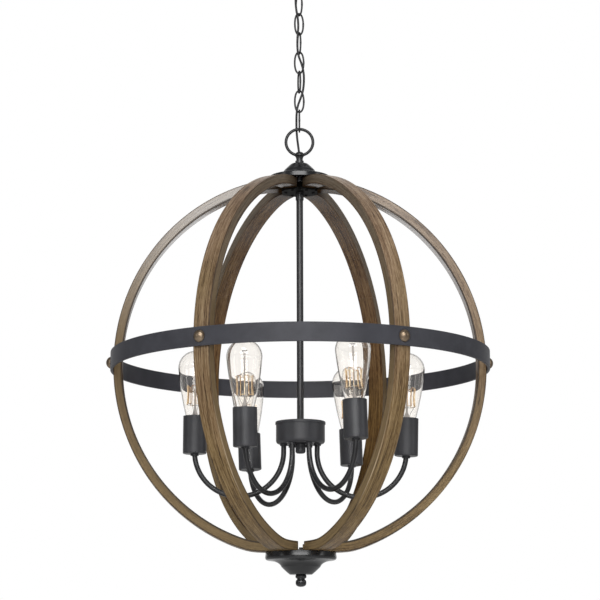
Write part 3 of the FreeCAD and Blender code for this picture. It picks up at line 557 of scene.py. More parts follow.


# supply cord: one smooth line on listed points, cut at the middle of each link. Its heights are from the eye
# of the swivel head, at the lowest point of the ring's line

hangRing = {"line": 22.25, "wire": 4.9}
ringMiddle = middleOf("hang_ring")
cord = {
    "radius": 1.8,
    "eye": ringMiddle - hangRing["line"],
    "route": [
        (0.0, 11.0, -31.0), (0.2, 10.9, -15.5), (0.0, 7.9, -5.2), (-0.5, 4.9, 3.4), (-1.6, 4.9, 13.5),
        (-3.5, 5.0, 27.5), (-4.8, 5.1, 43.0), (-4.9, 2.4, 56.5), (-4.7, -4.4, 70.0), (-2.9, -5.0, 82.5),
        (1.4, -4.5, 94.0), (6.0, -4.7, 107.0), (7.9, -4.1, 124.0), (7.6, -4.5, 140.5), (3.8, -4.7, 156.5),
        (-1.6, -4.9, 170.0), (-3.1, -4.5, 185.0), (-2.7, -5.0, 203.0), (-0.9, -4.9, 219.5), (-2.1, -6.0, 235.5),
        (-4.9, -4.0, 251.0), (-5.8, -0.3, 266.5), (-5.4, 0.3, 281.0), (-1.0, 0.2, 293.0), (0.0, 0.0, 306.5),
        (0.0, 0.1, 322.0)],
    "bodies": ["globe", "ring", "link_7", "link_6", "link_5", "link_4", "link_3", "link_2", "link_1",
               "ceiling_fitting"],
    "turnShare": 0.3,
}
grommet = {"place": (0.15, 10.9), "rise": -14.25, "line": 2.35, "wire": 0.8}


def cordLine():
    # the spline's own points, read back from the curve, in millimetres
    curve = bpy.data.curves.new("cordRoute", "CURVE")
    curve.dimensions = "3D"
    curve.resolution_u = 8
    spline = curve.splines.new("NURBS")
    route = np.array(cord["route"]) + (0, 0, cord["eye"])
    spline.points.add(len(route) - 1)
    spline.points.foreach_set("co", np.column_stack([route * mm, np.ones(len(route))]).ravel())
    spline.order_u = 3
    spline.use_endpoint_u = True
    carrier = bpy.data.objects.new("cordRoute", curve)
    scene.collection.objects.link(carrier)
    mesh = bpy.data.meshes.new_from_object(carrier.evaluated_get(bpy.context.evaluated_depsgraph_get()))
    line = np.zeros(len(mesh.vertices) * 3)
    mesh.vertices.foreach_get("co", line)
    bpy.data.objects.remove(carrier)
    return line.reshape(-1, 3) / mm


def makeCord():
    line = cordLine()
    middles = [ringMiddle] + [middleOf(f"chain_link_{n}") for n in range(7, 0, -1)]
    heights = np.unique(np.concatenate([line[:, 2], middles]))
    order = np.argsort(line[:, 2])
    line = np.stack([np.interp(heights, line[order, 2], line[order, k]) for k in range(3)], 1)
    stops = [0] + [int(np.argmin(abs(heights - m))) for m in middles] + [len(heights) - 1]
    for n, (low, high) in enumerate(zip(stops, stops[1:])):
        part = line[low:high + 1]
        piece = makeObject(f"supplyCord{n + 1}", [tubeGrid(part, (1, 0, 0), cord["radius"], 24)], sheath)
        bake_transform(piece)
        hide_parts("supply_cord")


def makeGrommet():
    # the soft ring round the cord where it enters the top cap
    angle = np.arange(32) * 2 * np.pi / 32
    x, y = grommet["place"]
    path = np.stack([x + grommet["line"] * np.cos(angle), y + grommet["line"] * np.sin(angle),
                     cord["eye"] + grommet["rise"] + 0 * angle], 1)
    piece = makeObject("cordGrommet", [tubeGrid(path, (0, 0, 1), grommet["wire"], 12, True)], sheath)
    fit(piece, "globe", ["supply_cord"], False)


makeCord()
makeGrommet()
print("cord made")


# chain and ring: round wire carried round closed loops

chain = {"wire": 3.0, "width": 17.8, "turns": (48.0, -20.0, 70.0, 0.0, 75.0, 0.0, 90.0), "weldLength": 5.0,
         "weldSwell": 0.22, "oval": 2.2}


def turnedAbout(degrees):
    # turns points about Z the way that the CAD turns its links: x to cos, -sin
    c, s = math.cos(math.radians(degrees)), math.sin(math.radians(degrees))
    return lambda p: np.stack([p[..., 0] * c + p[..., 1] * s, p[..., 1] * c - p[..., 0] * s, p[..., 2]], -1)


def makeLink(n):
    # a long oval, |x / a|^p + |z / b|^p = 1, with a small swelling where the wire's ends are welded
    low, high = heightsOf(f"chain_link_{n}")
    half = (chain["width"] - chain["wire"]) / 2
    reach = (high - low) / 2 - chain["wire"] / 2
    turn = np.linspace(-np.pi / 2, 1.5 * np.pi, 97)[:-1]
    power = 2 / chain["oval"]
    x = half * np.sign(np.cos(turn)) * np.abs(np.cos(turn)) ** power
    z = reach * np.sign(np.sin(turn)) * np.abs(np.sin(turn)) ** power
    path = np.stack([x, 0 * x, (low + high) / 2 + z], 1)
    weld = np.exp(-((z / chain["weldLength"] * 2) ** 2)) * (x > 0)
    radius = chain["wire"] / 2 + chain["weldSwell"] * weld
    grid = tubeGrid(path, (0, 1, 0), radius, 20, True, turnedAbout(chain["turns"][n - 1]))
    piece = makeObject(f"chainLink{n}", [grid], chainPaint)
    fit(piece, f"link_{n}", [f"chain_link_{n}"], False)


def ringPath(radius, middle, count=128):
    # a circle in the upright plane of X and Z
    angle = np.arange(count) * 2 * np.pi / count
    return np.stack([radius * np.cos(angle), 0 * angle, middle + radius * np.sin(angle)], 1)


def makeRing():
    grid = tubeGrid(ringPath(hangRing["line"], ringMiddle), (0, 1, 0), hangRing["wire"] / 2, 28, True)
    fit(makeObject("hangRing", [grid], chainPaint), "ring", ["hang_ring"], False)


for number in range(1, 8):
    makeLink(number)
makeRing()
print("chain and ring made")


# ceiling fitting

canopy = {"radius": 63.5, "height": 27.0, "wall": 1.2, "crown": 24.0, "hole": 4.9, "edge": 0.35}
collar = {"foot": 10.4, "radius": 11.5, "flare": 3.6, "lip": 0.6, "edge": 0.7}
loop = {"line": 12.75, "wire": 4.4, "turn": -60.0, "boss": 8.0, "bore": 3.3, "drop": 3.2, "edge": 0.8}


def makeCanopy():
    low = heightsOf("canopy")[0]
    hole, crown, wall = canopy["hole"], canopy["crown"], canopy["wall"]
    bend = ((canopy["radius"] - crown) ** 2 + canopy["height"] ** 2) / (2 * canopy["height"])

    def curve(radius, share):
        # a point on the shell's arc, this share of the way from the crown to the rim
        turn = share * math.acos((bend - canopy["height"]) / radius)
        return crown + radius * math.sin(turn), low + bend - radius * math.cos(turn)

    inner = bend - wall
    section = outline([(hole, low), (crown, low), (*curve(bend, 1), *curve(bend, 0.5)), curve(inner, 1),
                       (crown, low + wall, *curve(inner, 0.5)), (hole, low + wall)], canopy["edge"])
    fit(makeObject("canopyShell", [turnedGrid(section, 128)], charcoal), "ceiling_fitting", ["canopy"])
    low, high = heightsOf("screw_collar")
    section = outline([(hole, low), (collar["foot"], low), (collar["radius"], low + collar["flare"]),
                       (collar["radius"], high - collar["lip"]), (hole, high)], collar["edge"])
    fit(makeObject("screwCollar", [turnedGrid(section)], charcoal), "ceiling_fitting", ["screw_collar"])


def makeLoop():
    low, high = heightsOf("canopy_loop")
    middle = low + loop["line"] + loop["wire"] / 2
    ring = tubeGrid(ringPath(loop["line"], middle), (0, 1, 0), loop["wire"] / 2, 24, True,
                    turnedAbout(loop["turn"]))
    foot = high - loop["drop"]
    boss = turnedGrid(outline([(loop["bore"], foot), (loop["boss"], foot), (loop["boss"], high),
                               (loop["bore"], high)], loop["edge"]), 64)
    fit(makeObject("canopyLoop", [ring, boss], blackPaint), "ceiling_fitting", ["canopy_loop"])


makeCanopy()
makeLoop()
print("ceiling fitting made")


# top cap, bottom cap and finial: turned sections, each from its node's lowest (0) or highest (1) level

turnedPieces = {
    "topCap": {
        "node": "top_cap", "level": 0, "edge": 0.5, "around": 144, "closed": True,
        "steps": [(46.2, 0), (51.0, 0), (51.0, 6.4), (49.4, 8.0, 50.5, 7.5), (46.0, 8.0),
                  (25.6, 19.2, 32.4, 11.7), (14.2, 30.2, 19.0, 26.0), (7.0, 32.2), (4.9, 32.2), (4.9, 29.8),
                  (11.8, 27.8), (23.2, 18.0), (23.2, 5.6), (46.2, 5.6)]},
    "bottomCap": {
        "node": "bottom_cap", "level": 1, "edge": 0.5, "around": 144, "closed": True,
        "steps": [(3.1, -35.0), (17.5, -35.0), (31.0, -23.0, 23.2, -30.4), (52.0, -12.4, 38.0, -15.9),
                  (57.1, -7.4, 55.8, -11.2), (56.2, 0, 56.55, -3.7), (52.2, 0), (52.2, -5.0), (28.6, -21.8),
                  (15.1, -32.6), (3.1, -32.6)]},
    "finialDrop": {
        "node": "finial", "level": 1, "edge": 0.35, "around": 72, "closed": False,
        "steps": [(0, -19.4), (8.6, -12.6, 6.6, -17.6), (6.3, -8.0, 7.9, -9.3), (6.3, -6.0), (7.65, -6.0),
                  (7.65, 0, 8.9, -3.0), (0, 0)]},
}
for name, shape in turnedPieces.items():
    section = outline(shape["steps"], shape["edge"], shape["closed"])
    section = section + (0, heightsOf(shape["node"])[shape["level"]])
    grid = turnedGrid(section, shape["around"], shape["closed"])
    fit(makeObject(name, [grid], capPaint), "globe", [shape["node"]])
print("caps and finial made")


# ribs: a rounded rectangle carried down half an ellipse, level at both poles and mitred at the axis

rib = {
    "halfWidth": 301.1, "halfHeight": 311.5, "width": 28.3, "side": 14.5, "end": 16.5, "tip": 10.0,
    "footSetback": 32.8, "topCut": 14.6, "bottomCut": 15.6, "round": 1.0, "mitre": 4.5, "stations": 420,
    "soft": 2.2, "leastHalf": 0.2, "relief": 0.07, "mostGroove": 1.6,
    "strays": (2.0, 2.7, 2.3, 2.0, 0.5, 0.65),  # degrees that each rib stands past its even place
    "waves": ((55, 2.1, 0.4), (21, 4.0, 0.25)),  # of the grooves: length, phase step and size
}
ribFinish = {
    # for each rib: how far painted shade darkens its sides, the whole rib and its middle, how far its inside is
    # waxed, its sides are smooth and its arrises carry painted dark shade lines
    "sideShade": (0, 0.3, 0.3, 0, 0.3, 0.35), "shade": (0, 0, 0, 0, 0.2, 0.04), "waist": (0, 0, 0, 0.33, 0, 0),
    "wax": (0.8, 0, 0, 0.8, 0, 0), "smooth": (0.35, 1, 1, 1, 1, 1), "edging": (1.0, 0.45, 0.45, 1.0, 0.8, 0.7),
    # points of each side and of the inside that carry a painted shade line like an arris
    "dark": ([11, 12], [0, 26], [0, 1]),
}
ribLow, ribHigh = heightsOf("rib_1")
globeMiddle = middleOf("equator_band") - 3.8


def ribSection():
    # points round the section: across from -1 to 1, and depth from 0, outside, to 1, inside. Also how much each
    # belongs to an arris, which of the four faces it is on, and how far round it lies in millimetres
    width, depth, corner = rib["width"], rib["side"], rib["round"]
    turn = np.linspace(0, np.pi / 2, 4)
    faceLine = np.linspace(-width / 2 + corner, width / 2 - corner, 27)
    sideLine = np.linspace(corner, depth - corner, 13)
    runs = []
    for n in range(4):
        line = faceLine if n % 2 == 0 else sideLine - depth / 2
        half = (width if n % 2 else depth) / 2
        alongHalf = (depth if n % 2 else width) / 2
        flat = np.stack([line, 0 * line + half], 1)
        bend = np.stack([alongHalf - corner + corner * np.sin(turn), half - corner + corner * np.cos(turn)], 1)[1:-1]
        run = np.concatenate([flat, bend])
        kind = np.concatenate([np.zeros(len(flat)), np.ones(len(bend))])
        kind[[0, len(flat) - 1]] = 0.6
        if n > 0:
            kind[ribFinish["dark"][n - 1]] = 0.9
        c, s = [(1, 0), (0, -1), (-1, 0), (0, 1)][n]
        runs.append((run[:, 0] * c + run[:, 1] * -s, run[:, 0] * s + run[:, 1] * c, kind, np.full(len(run), n)))
    across, outwards, arris, face = (np.concatenate([r[k] for r in runs]) for k in range(4))
    gaps = np.hypot(np.diff(across, append=across[:1]), np.diff(outwards, append=outwards[:1]))
    return across / (width / 2), 0.5 - outwards / depth, arris, face, np.concatenate([[0], np.cumsum(gaps)])


def softClip(height, low, high):
    # holds a height between two levels, with a small bend where it meets each
    soft = rib["soft"]
    height = low + soft * np.logaddexp(0, (height - low) / soft)
    return high - soft * np.logaddexp(0, (high - height) / soft)


def ribValues(n, points, depth, arris, face):
    # the finish of every point, which the wood reads, with its painted shade and painted highlight. Heights are
    # shares of the globe's half height
    height = (points[..., 2] - globeMiddle) / rib["halfHeight"]
    # painted highlight: a light line along one outer arris, from the band down towards the foot
    near = (depth < 0.3) * (face == (3 if n == 4 else 0))
    paintedArrisHighlight = arris[None] * near[None] * np.clip(-0.5 - height * 2.4, 0, 1) * np.clip(4 + height * 5, 0, 1)
    onSide, inside = (face % 2 == 1)[None], (face == 2)[None]
    # painted shade: darker near the axis in the upper half, where the cap and plate shade the rib ends, and on the
    # sides, the whole length or the middle of some ribs
    paintedShade = np.clip((88 - points[..., 0]) / 52, 0, 1) * (height > 0)
    paintedShade = np.maximum(paintedShade, ribFinish["sideShade"][n] * onSide * np.clip((height + 0.45) / 0.35, 0, 1))
    paintedShade = np.maximum(paintedShade, ribFinish["shade"][n] * np.clip((height + 0.55) / 0.35, 0, 1))
    paintedShade = np.maximum(paintedShade, ribFinish["waist"][n] * np.exp(-(((height + 0.1) / 0.45) ** 2)))
    # side, inner and waxed are the wood's own finish; arris carries the painted dark shade lines along the edges
    return {"side": onSide * (1 - arris[None]) * ribFinish["smooth"][n] + 0 * height,
            "inner": inside + 0 * height, "paintedShade": paintedShade, "waxed": inside * ribFinish["wax"][n] + 0 * height,
            "arris": ribFinish["edging"][n] * arris[None] * (1 - np.clip(paintedArrisHighlight, 0, 1)), "paintedArrisHighlight": paintedArrisHighlight}


def makeRib(n):
    # outer and inner line: x = a cos t, z = b sin t. A section point lies between them by its depth, and
    # sideways by its share of half the width, or of the mitre where that is less
    across, depth, arris, face, around = ribSection()
    s = np.linspace(1, -1, rib["stations"])
    end = np.where(s > 0, rib["tip"], rib["footSetback"])
    theta = np.arccos(end / rib["halfWidth"]) * (0.9 * s + 0.1 * s**3)
    outer = np.stack([rib["halfWidth"] * np.cos(theta),
                      softClip(globeMiddle + rib["halfHeight"] * np.sin(theta), ribLow, ribHigh)], 1)
    inner = np.stack([(rib["halfWidth"] - rib["side"]) * np.cos(theta),
                      softClip(globeMiddle + (rib["halfHeight"] - rib["end"]) * np.sin(theta),
                               ribLow + rib["bottomCut"], ribHigh - rib["topCut"])], 1)
    inner[:, 0] = np.maximum(inner[:, 0], end)
    along = np.concatenate([[0], np.cumsum(np.linalg.norm(np.diff(outer, axis=0), axis=1))])
    # shallow grooves along the grain: slow waves down the rib for each line round the section
    shift = np.random.default_rng(40 + n).normal(0, 1, len(across))
    wave = sum(np.sin(along[:, None] / length + shift[None] * step) * size for length, step, size in rib["waves"])
    groove = rib["relief"] * (0.5 + 0.5 * shift[None] / 2 + wave).clip(0, rib["mostGroove"]) * (arris[None] < 0.5)
    sunk = depth[None] + groove / rib["side"] * np.where(face == 0, 1, np.where(face == 2, -1, 0))[None]
    xz = outer[:, None] * (1 - sunk[..., None]) + inner[:, None] * sunk[..., None]
    half = np.minimum(rib["width"] / 2, xz[..., 0] * math.tan(math.pi / 6) - rib["mitre"] / math.cos(math.pi / 6))
    sideGroove = groove * np.where(face % 2 == 1, 1, 0)[None]
    y = -across[None] * np.maximum(half - sideGroove * (half > 5), rib["leastHalf"])
    points = np.stack([xz[..., 0], y, xz[..., 1]], -1)
    # both ends are shut
    ends = np.repeat(points.mean(1, keepdims=True), points.shape[1], 1)
    rims = 0.94 * points[[0, -1]] + 0.06 * ends[[0, -1]]
    points = np.concatenate([ends[:1], rims[:1], points, rims[1:], ends[-1:]])
    along = np.concatenate([along[:1], along[:1], along, along[-1:], along[-1:]])
    u, v = np.broadcast_arrays(along[:, None] * mm + 1.37 * n, around[None] * mm + 0.31 * n)
    values = ribValues(n, points, depth, arris, face)
    place = turnedAbout(-60.0 * n - rib["strays"][n])
    piece = makeObject(f"rib{n + 1}", [(place(points) * mm, False, True, np.stack([u, v], -1), values)], wood)
    fit(piece, "globe", [f"rib_{n + 1}"], False)


for number in range(6):
    makeRib(number)
print("ribs made")


# equator band: a slim upright strip with rounded edges, turned about Z, and its six bolt heads

band = {"inner": 301.6, "outer": 306.1, "height": 29.2, "headRadius": 9.5, "headHeight": 7.3, "edge": 0.88,
        "bow": (5.75, 5.5), "round": 0.6, "headRound": 0.4}


def makeBand():
    middle = middleOf("equator_band")
    half = band["height"] / 2
    section = outline([(band["inner"], -half), (band["outer"], -half), (band["outer"], half),
                       (band["inner"], half)], band["round"]) + (0, middle)
    fit(makeObject("equatorBand", [turnedGrid(section, 288)], charcoal), "globe", ["equator_band"])
    dome = outline([(0, 0), (band["headRadius"], 0), (band["headRadius"], band["edge"]),
                    (0, band["headHeight"], *band["bow"])], band["headRound"], False)
    grids = []
    for n in range(6):
        def place(points, turn=math.radians(60 * n + rib["strays"][n])):
            # the head's axis lies along the band's radius
            out, side, up = points[..., 2] + band["outer"], points[..., 0], points[..., 1]
            return np.stack([out * math.cos(turn) - side * math.sin(turn),
                             out * math.sin(turn) + side * math.cos(turn), middle + up], -1)
        grids.append(turnedGrid(dome, 48, False, place))
    fit(makeObject("bandBoltHeads", grids, bronze), "globe", ["band_bolts"])


makeBand()
print("band made")


# stem and hub

hub = {"radius": 39.3, "coverRadius": 40.5, "round": 5.0, "wall": 1.2, "stem": 5.5, "bore": 5.6, "knob": 8.2,
       "knobRound": 4.0, "coverWall": 1.4, "coverPlay": 0.1, "coverBow": 0.4, "edge": 0.4, "coverEdge": 0.3}


def roundShort(radius):
    # how far the middle of a quarter round stays short of its corner
    return radius * (1 - math.sqrt(0.5))


def makeHub():
    low, high = heightsOf("stem")
    z = np.linspace(low, high, 9)
    path = np.stack([0 * z, 0 * z, z], 1)
    fit(makeObject("stemTube", [tubeGrid(path, (1, 0, 0), hub["stem"], 40)], blackPaint), "globe", ["stem"])
    low, top = heightsOf("hub_pan")
    radius, wall, edge, bore = hub["radius"], hub["wall"], hub["round"], hub["bore"]
    near = roundShort(edge)
    pan = outline([(bore, low), (radius - edge, low), (radius, low + edge, radius - near, low + near),
                   (radius, top), (radius - wall, top), (radius - wall, low + edge),
                   (radius - edge, low + wall, radius - near - wall * 0.7, low + near + wall * 0.7),
                   (bore, low + wall)], hub["edge"])
    fit(makeObject("hubPan", [turnedGrid(pan, 120)], hubCharcoal), "globe", ["hub_pan"])
    low, high = heightsOf("hub_cover")
    cap, thick, bow = hub["coverRadius"], hub["coverWall"], hub["coverBow"]
    inside, under = radius + hub["coverPlay"], high - thick
    cover = outline([(bore, under), (inside, under), (inside, low), (cap, low), (cap, under),
                     (cap - thick, high, cap - bow, high - bow), (bore, high)], hub["coverEdge"])
    fit(makeObject("hubCover", [turnedGrid(cover, 120)], hubCharcoal), "globe", ["hub_cover"])
    low, high = heightsOf("hub_knob")
    radius, edge = hub["knob"], hub["knobRound"]
    near = roundShort(edge)
    knob = outline([(0, low), (radius - edge, low), (radius, low + edge, radius - near, low + near),
                    (radius, high), (0, high)], hub["edge"], False)
    fit(makeObject("hubKnob", [turnedGrid(knob, 64, False)], hubCharcoal), "globe", ["hub_knob"])


makeHub()
print("hub made")


# arms, cups and bulbs. Each is made about its arm's own inner end, then stood at the hub

arm = {"radius": 4.15, "bend": 71.5, "reach": 27.0, "stub": 12.9, "endIn": 5.2,
       "rises": (-1.6, -1.2, -4.0, 0.4, -2.0, 2.8), "sways": (0.0, 2.6, 0.0, 0.0, 0.4, 0.0)}
cup = {"radius": 19.0, "height": 61.0, "wall": 1.3, "floor": 2.0, "round": 2.0, "below": 3.5, "hole": 4.75,
       "edge": 0.35, "holderFloor": 25.5}
hubFloor = heightsOf("hub_pan")[0]


def onArm(n):
    # lifts and leans by the arm's own angles, moves out to the arm's seat, and turns to its place round the hub
    lift, lean, turn = (math.radians(a) for a in (arm["rises"][n], arm["sways"][n], 60 * n))

    def place(p):
        x, y, z = p[..., 0], p[..., 1], p[..., 2]
        x, z = x * math.cos(lift) - z * math.sin(lift), x * math.sin(lift) + z * math.cos(lift)
        y, z = y * math.cos(lean) + z * math.sin(lean), -y * math.sin(lean) + z * math.cos(lean)
        x, z = x + arm["reach"], z + hubFloor
        return np.stack([x * math.cos(turn) - y * math.sin(turn), x * math.sin(turn) + y * math.cos(turn), z], -1)
    return place


def overCup(n, lift=0.0):
    # the same, for what stands on the arm's outer end
    place = onArm(n)
    return lambda p: place(p + (2 * arm["bend"], 0, lift))


def makeArm(n):
    # straight down from the hub, round half a circle, and a little way up into the cup
    bend = np.linspace(0, np.pi, 73)
    x = np.concatenate([[0, 0, 0], arm["bend"] - arm["bend"] * np.cos(bend), [2 * arm["bend"]]])
    z = np.concatenate([[arm["endIn"], 0, -arm["stub"] * 0.7], -arm["stub"] - arm["bend"] * np.sin(bend),
                        [-arm["stub"] + 0.3]])
    path = np.stack([x, 0 * x, z], 1)
    fit(makeObject(f"arm{n + 1}", [tubeGrid(path, (0, 1, 0), arm["radius"], 32, False, onArm(n))], blackPaint),
        "globe", [f"arm_{n + 1}"], False)


def makeCups():
    low = -arm["stub"] - cup["below"]
    radius, edge = cup["radius"], cup["round"]
    near = roundShort(edge)
    inside, top, floor = radius - cup["wall"], low + cup["height"], low + cup["floor"]
    section = outline([(cup["hole"], low), (radius - edge, low), (radius, low + edge, radius - near, low + near),
                       (radius, top), (inside, top), (inside, floor), (cup["hole"], floor)], cup["edge"])
    grids = [turnedGrid(section, 80, True, overCup(n)) for n in range(6)]
    fit(makeObject("socketCups", grids, hubCharcoal), "globe", ["socket_cups"])


bulb = {"tip": 3.6, "insulator": 4.0, "base": 24.0, "baseRadius": 13.1, "neck": 12.4, "length": 136.4, "wide": 28.0,
        "throat": 15.6, "throatShare": 0.075, "bulgeShare": 0.055, "wall": 0.9, "threadRise": 3.63,
        "threadDepth": 0.75, "contact": 4.6, "contactLow": 0.15, "insulatorRadius": 13.0}
mount = {"rod": 1.8, "rodHeight": 109.5, "slim": 0.8, "high": 30.0,
         # heights and radii of the foot, and where and by how much it is pinched flat
         "heights": (0, 0, 2, 6, 12, 18, 23, 27), "radii": (0, 7.0, 6.6, 5.6, 5.0, 4.8, 4.6, 3.6, 2.0),
         "pinch": (20, 7, 0.5)}
filament = {"radius": 13.6, "low": 40.0, "high": 69.5, "wire": 1.25, "runs": 12, "bow": 1.2, "stray": 0.4,
            "hookWire": 0.16, "hookRise": 1.5, "leadWire": 0.3, "leadFoot": 14, "crossHalf": 4.8,
            "crossHeight": 108.5, "crossWire": 0.75}
seat = -arm["stub"] - cup["below"] + cup["floor"] + cup["holderFloor"]
shellTop = bulb["tip"] + bulb["base"]
glassFoot = bulb["tip"] + 2 * bulb["insulator"]


def makeBulbBase(n):
    # the screw shell's radius waves with height and angle, so the thread climbs once each turn
    place = overCup(n, seat)
    insulator = bulb["tip"] + bulb["insulator"]
    z = np.linspace(insulator, shellTop, 120)[:, None]
    angle = np.arange(64)[None] * 2 * np.pi / 64
    fade = np.clip((z - insulator) / 2, 0, 1) * np.clip((shellTop - 1.5 - z) / 2, 0, 1)
    radius = bulb["baseRadius"] - bulb["threadDepth"] / 2 * fade * (
        1 - np.cos(2 * np.pi * z / bulb["threadRise"] - angle))
    shell = np.stack([radius * np.cos(angle), radius * np.sin(angle), z + 0 * angle], -1)
    floor, cover = shell[:1] * (0, 0, 1), shell[-1:] * (0, 0, 1)
    shell = place(np.concatenate([floor, shell, cover]))
    piece = makeObject(f"bulbShell{n + 1}", [(shell * mm, False, True, None, None)], brass)
    fit(piece, f"bulb_{n + 1}", [f"bulb_base_{n + 1}"], False)
    low = bulb["tip"] - 0.2
    ring = turnedGrid(outline([(0, low), (bulb["contact"], low), (bulb["insulatorRadius"], insulator),
                               (0, insulator)], 0.5, False), 48, False, place)
    fit(makeObject(f"bulbInsulator{n + 1}", [ring], vitrite), f"bulb_{n + 1}", [f"bulb_base_{n + 1}"])
    tip = turnedGrid(outline([(0, bulb["contactLow"]), (bulb["contact"], bulb["tip"] - 0.4, 3.9, 0.9),
                              (0, bulb["tip"])], 0.3, False), 40, False, place)
    fit(makeObject(f"bulbTip{n + 1}", [tip], solder), f"bulb_{n + 1}", [f"bulb_base_{n + 1}"])


def makeBulbGlass(n):
    # the pear: a waisted neck, a bowed side and a round dome, with its inner wall one thickness in
    wall, wide, neck = bulb["wall"], bulb["wide"], bulb["neck"]
    top = bulb["tip"] + bulb["length"]
    throat = shellTop + bulb["throatShare"] * (bulb["length"] - bulb["base"])
    dome = np.linspace(0, np.pi / 2, 28)
    middle = top - wide
    knots = np.array([(bulb["throat"], throat), (wide, middle),
                      ((bulb["throat"] + wide) / 2 + bulb["bulgeShare"] * wide, (throat + middle) / 2)])
    s = np.linspace(0, 1, 30)[1:, None]
    side = quadratic(knots[0], 2 * knots[2] - (knots[0] + knots[1]) / 2, knots[1], s)

    def shell(inset):
        cap = np.stack([(wide - inset) * np.cos(dome), middle + (wide - inset) * np.sin(dome)], 1)[1:]
        cap[-1, 0] = 0
        low = glassFoot + inset
        foot = np.array([(0, low), (neck - inset - 1.5, low), (neck - inset, low + 1.5),
                         (neck - inset, (low + shellTop) / 2), (neck - inset, shellTop - 1)])
        waist = np.array([(neck + 0.2 - inset, shellTop + 1),
                          ((neck + bulb["throat"]) / 2 - inset, (shellTop + throat) / 2 + 0.4)])
        return np.concatenate([foot, waist, np.concatenate([knots[:1], side]) - (inset, 0), cap])
    place = overCup(n, seat)
    grids = [turnedGrid(shell(0.0), 72, False, place), turnedGrid(shell(wall)[::-1], 72, False, place)]
    piece = makeObject(f"bulbGlass{n + 1}", grids, bulbGlass)
    fit(piece, f"bulb_{n + 1}", [f"bulb_glass_{n + 1}"], False)


def makeMount(n):
    # the pinched glass foot and its thin rod, flattened where the lead wires pass through
    foot = glassFoot + bulb["wall"] + 0.05
    rod, tall, high = mount["rod"], mount["rodHeight"], mount["high"]
    slim = rod * mount["slim"]
    z = np.array([*mount["heights"], high, high + 2, 50, 80, tall - 1, tall, tall + 0.4])
    r = np.array([*mount["radii"], rod, slim, slim, rod, slim, 0])
    level, spread, depth = mount["pinch"]
    flat = 1 - depth * np.exp(-(((z - level) / spread) ** 2))
    angle = np.arange(32)[None] * 2 * np.pi / 32
    points = np.stack([r[:, None] * np.cos(angle), (r * flat)[:, None] * np.sin(angle),
                       (z + foot)[:, None] + 0 * angle], -1)
    piece = makeObject(f"bulbMount{n + 1}", [(overCup(n, seat)(points) * mm, False, True, None, None)], stemGlass)
    fit(piece, f"bulb_{n + 1}", [f"bulb_base_{n + 1}"], False)


def makeFilament(n):
    foot = glassFoot + bulb["wall"]
    low, high = foot + filament["low"], foot + filament["high"]
    place = overCup(n, seat)
    runs, radius, rise = filament["runs"], filament["radius"], filament["leadFoot"]
    stray = filament["stray"] * n
    step = 2 * np.pi / runs
    # up one side and down the next: the angle moves on at each end while the height stays at a small bow
    t = np.linspace(0, runs - 1e-6, runs * 26)
    run, share = np.floor(t), t - np.floor(t)
    upwards = run % 2 == 0
    eased = np.clip((share - 0.06) / 0.88, 0, 1)
    lift = np.where(upwards, eased, 1 - eased)
    turn = step * (run + np.clip((share - 0.94) / 0.12, 0, 0.5) - np.clip((0.06 - share) / 0.12, 0, 0.5)) + stray
    bow = filament["bow"] * np.sin(np.pi * np.where(upwards, share, 1 - share))
    path = np.stack([(radius - bow) * np.cos(turn), (radius - bow) * np.sin(turn), low + (high - low) * lift], 1)
    outwards = np.stack([np.cos(turn), np.sin(turn), 0.2 + 0 * turn], 1)
    grids = [tubeGrid(path, outwards, filament["wire"] / 2, 8, False, place)]
    piece = makeObject(f"bulbFilament{n + 1}", grids, filamentWire)
    fit(piece, f"bulb_{n + 1}", [f"bulb_base_{n + 1}"], False)

    def spoke(radial, spot, height):
        # a line at this angle: its distance from the bulb's axis against its height
        return np.stack([radial * math.cos(spot), radial * math.sin(spot), height], 1)

    wires = []
    s = np.linspace(0, 1, 9)
    for k in range(runs):
        # a hook from the rod holds each bend of the filament
        level = high if k % 2 == 0 else low
        centre = level + (filament["hookRise"] if k % 2 == 0 else -filament["hookRise"])
        hook = spoke(1.0 + (radius - 0.8) * s, step * (k + 0.5) + stray, centre + (level - centre) * s**3)
        wires.append(tubeGrid(hook, (0.01, 0.02, 1), filament["hookWire"], 6, False, place))
    s = np.linspace(0, 1, 14)
    for spot in (stray, stray + math.pi):
        # lead wires rise from the foot, swing out and meet the filament's ends
        lead = spoke(2.6 + (radius - 3.4) * s**2, spot, foot + rise + (low - foot - rise) * s)
        wires.append(tubeGrid(lead, (-math.sin(spot), math.cos(spot), 0.01), filament["leadWire"], 8, False, place))
    s = np.linspace(-filament["crossHalf"], filament["crossHalf"], 9)
    for spot in (0, math.pi / 2):
        # the rod's head carries a small cross
        cross = spoke(s, spot, foot + filament["crossHeight"] + 0 * s)
        wires.append(tubeGrid(cross, (0, 0, 1), filament["crossWire"], 8, False, place))
    piece = makeObject(f"bulbSupports{n + 1}", wires, nickelWire)
    fit(piece, f"bulb_{n + 1}", [f"bulb_base_{n + 1}"], False)


makeCups()
for number in range(6):
    makeArm(number)
    makeBulbBase(number)
    makeBulbGlass(number)
    makeMount(number)
    makeFilament(number)
print("arms, cups and bulbs made")


# CAD nodes that stay: smooth shading over the welded triangles, and their own finish

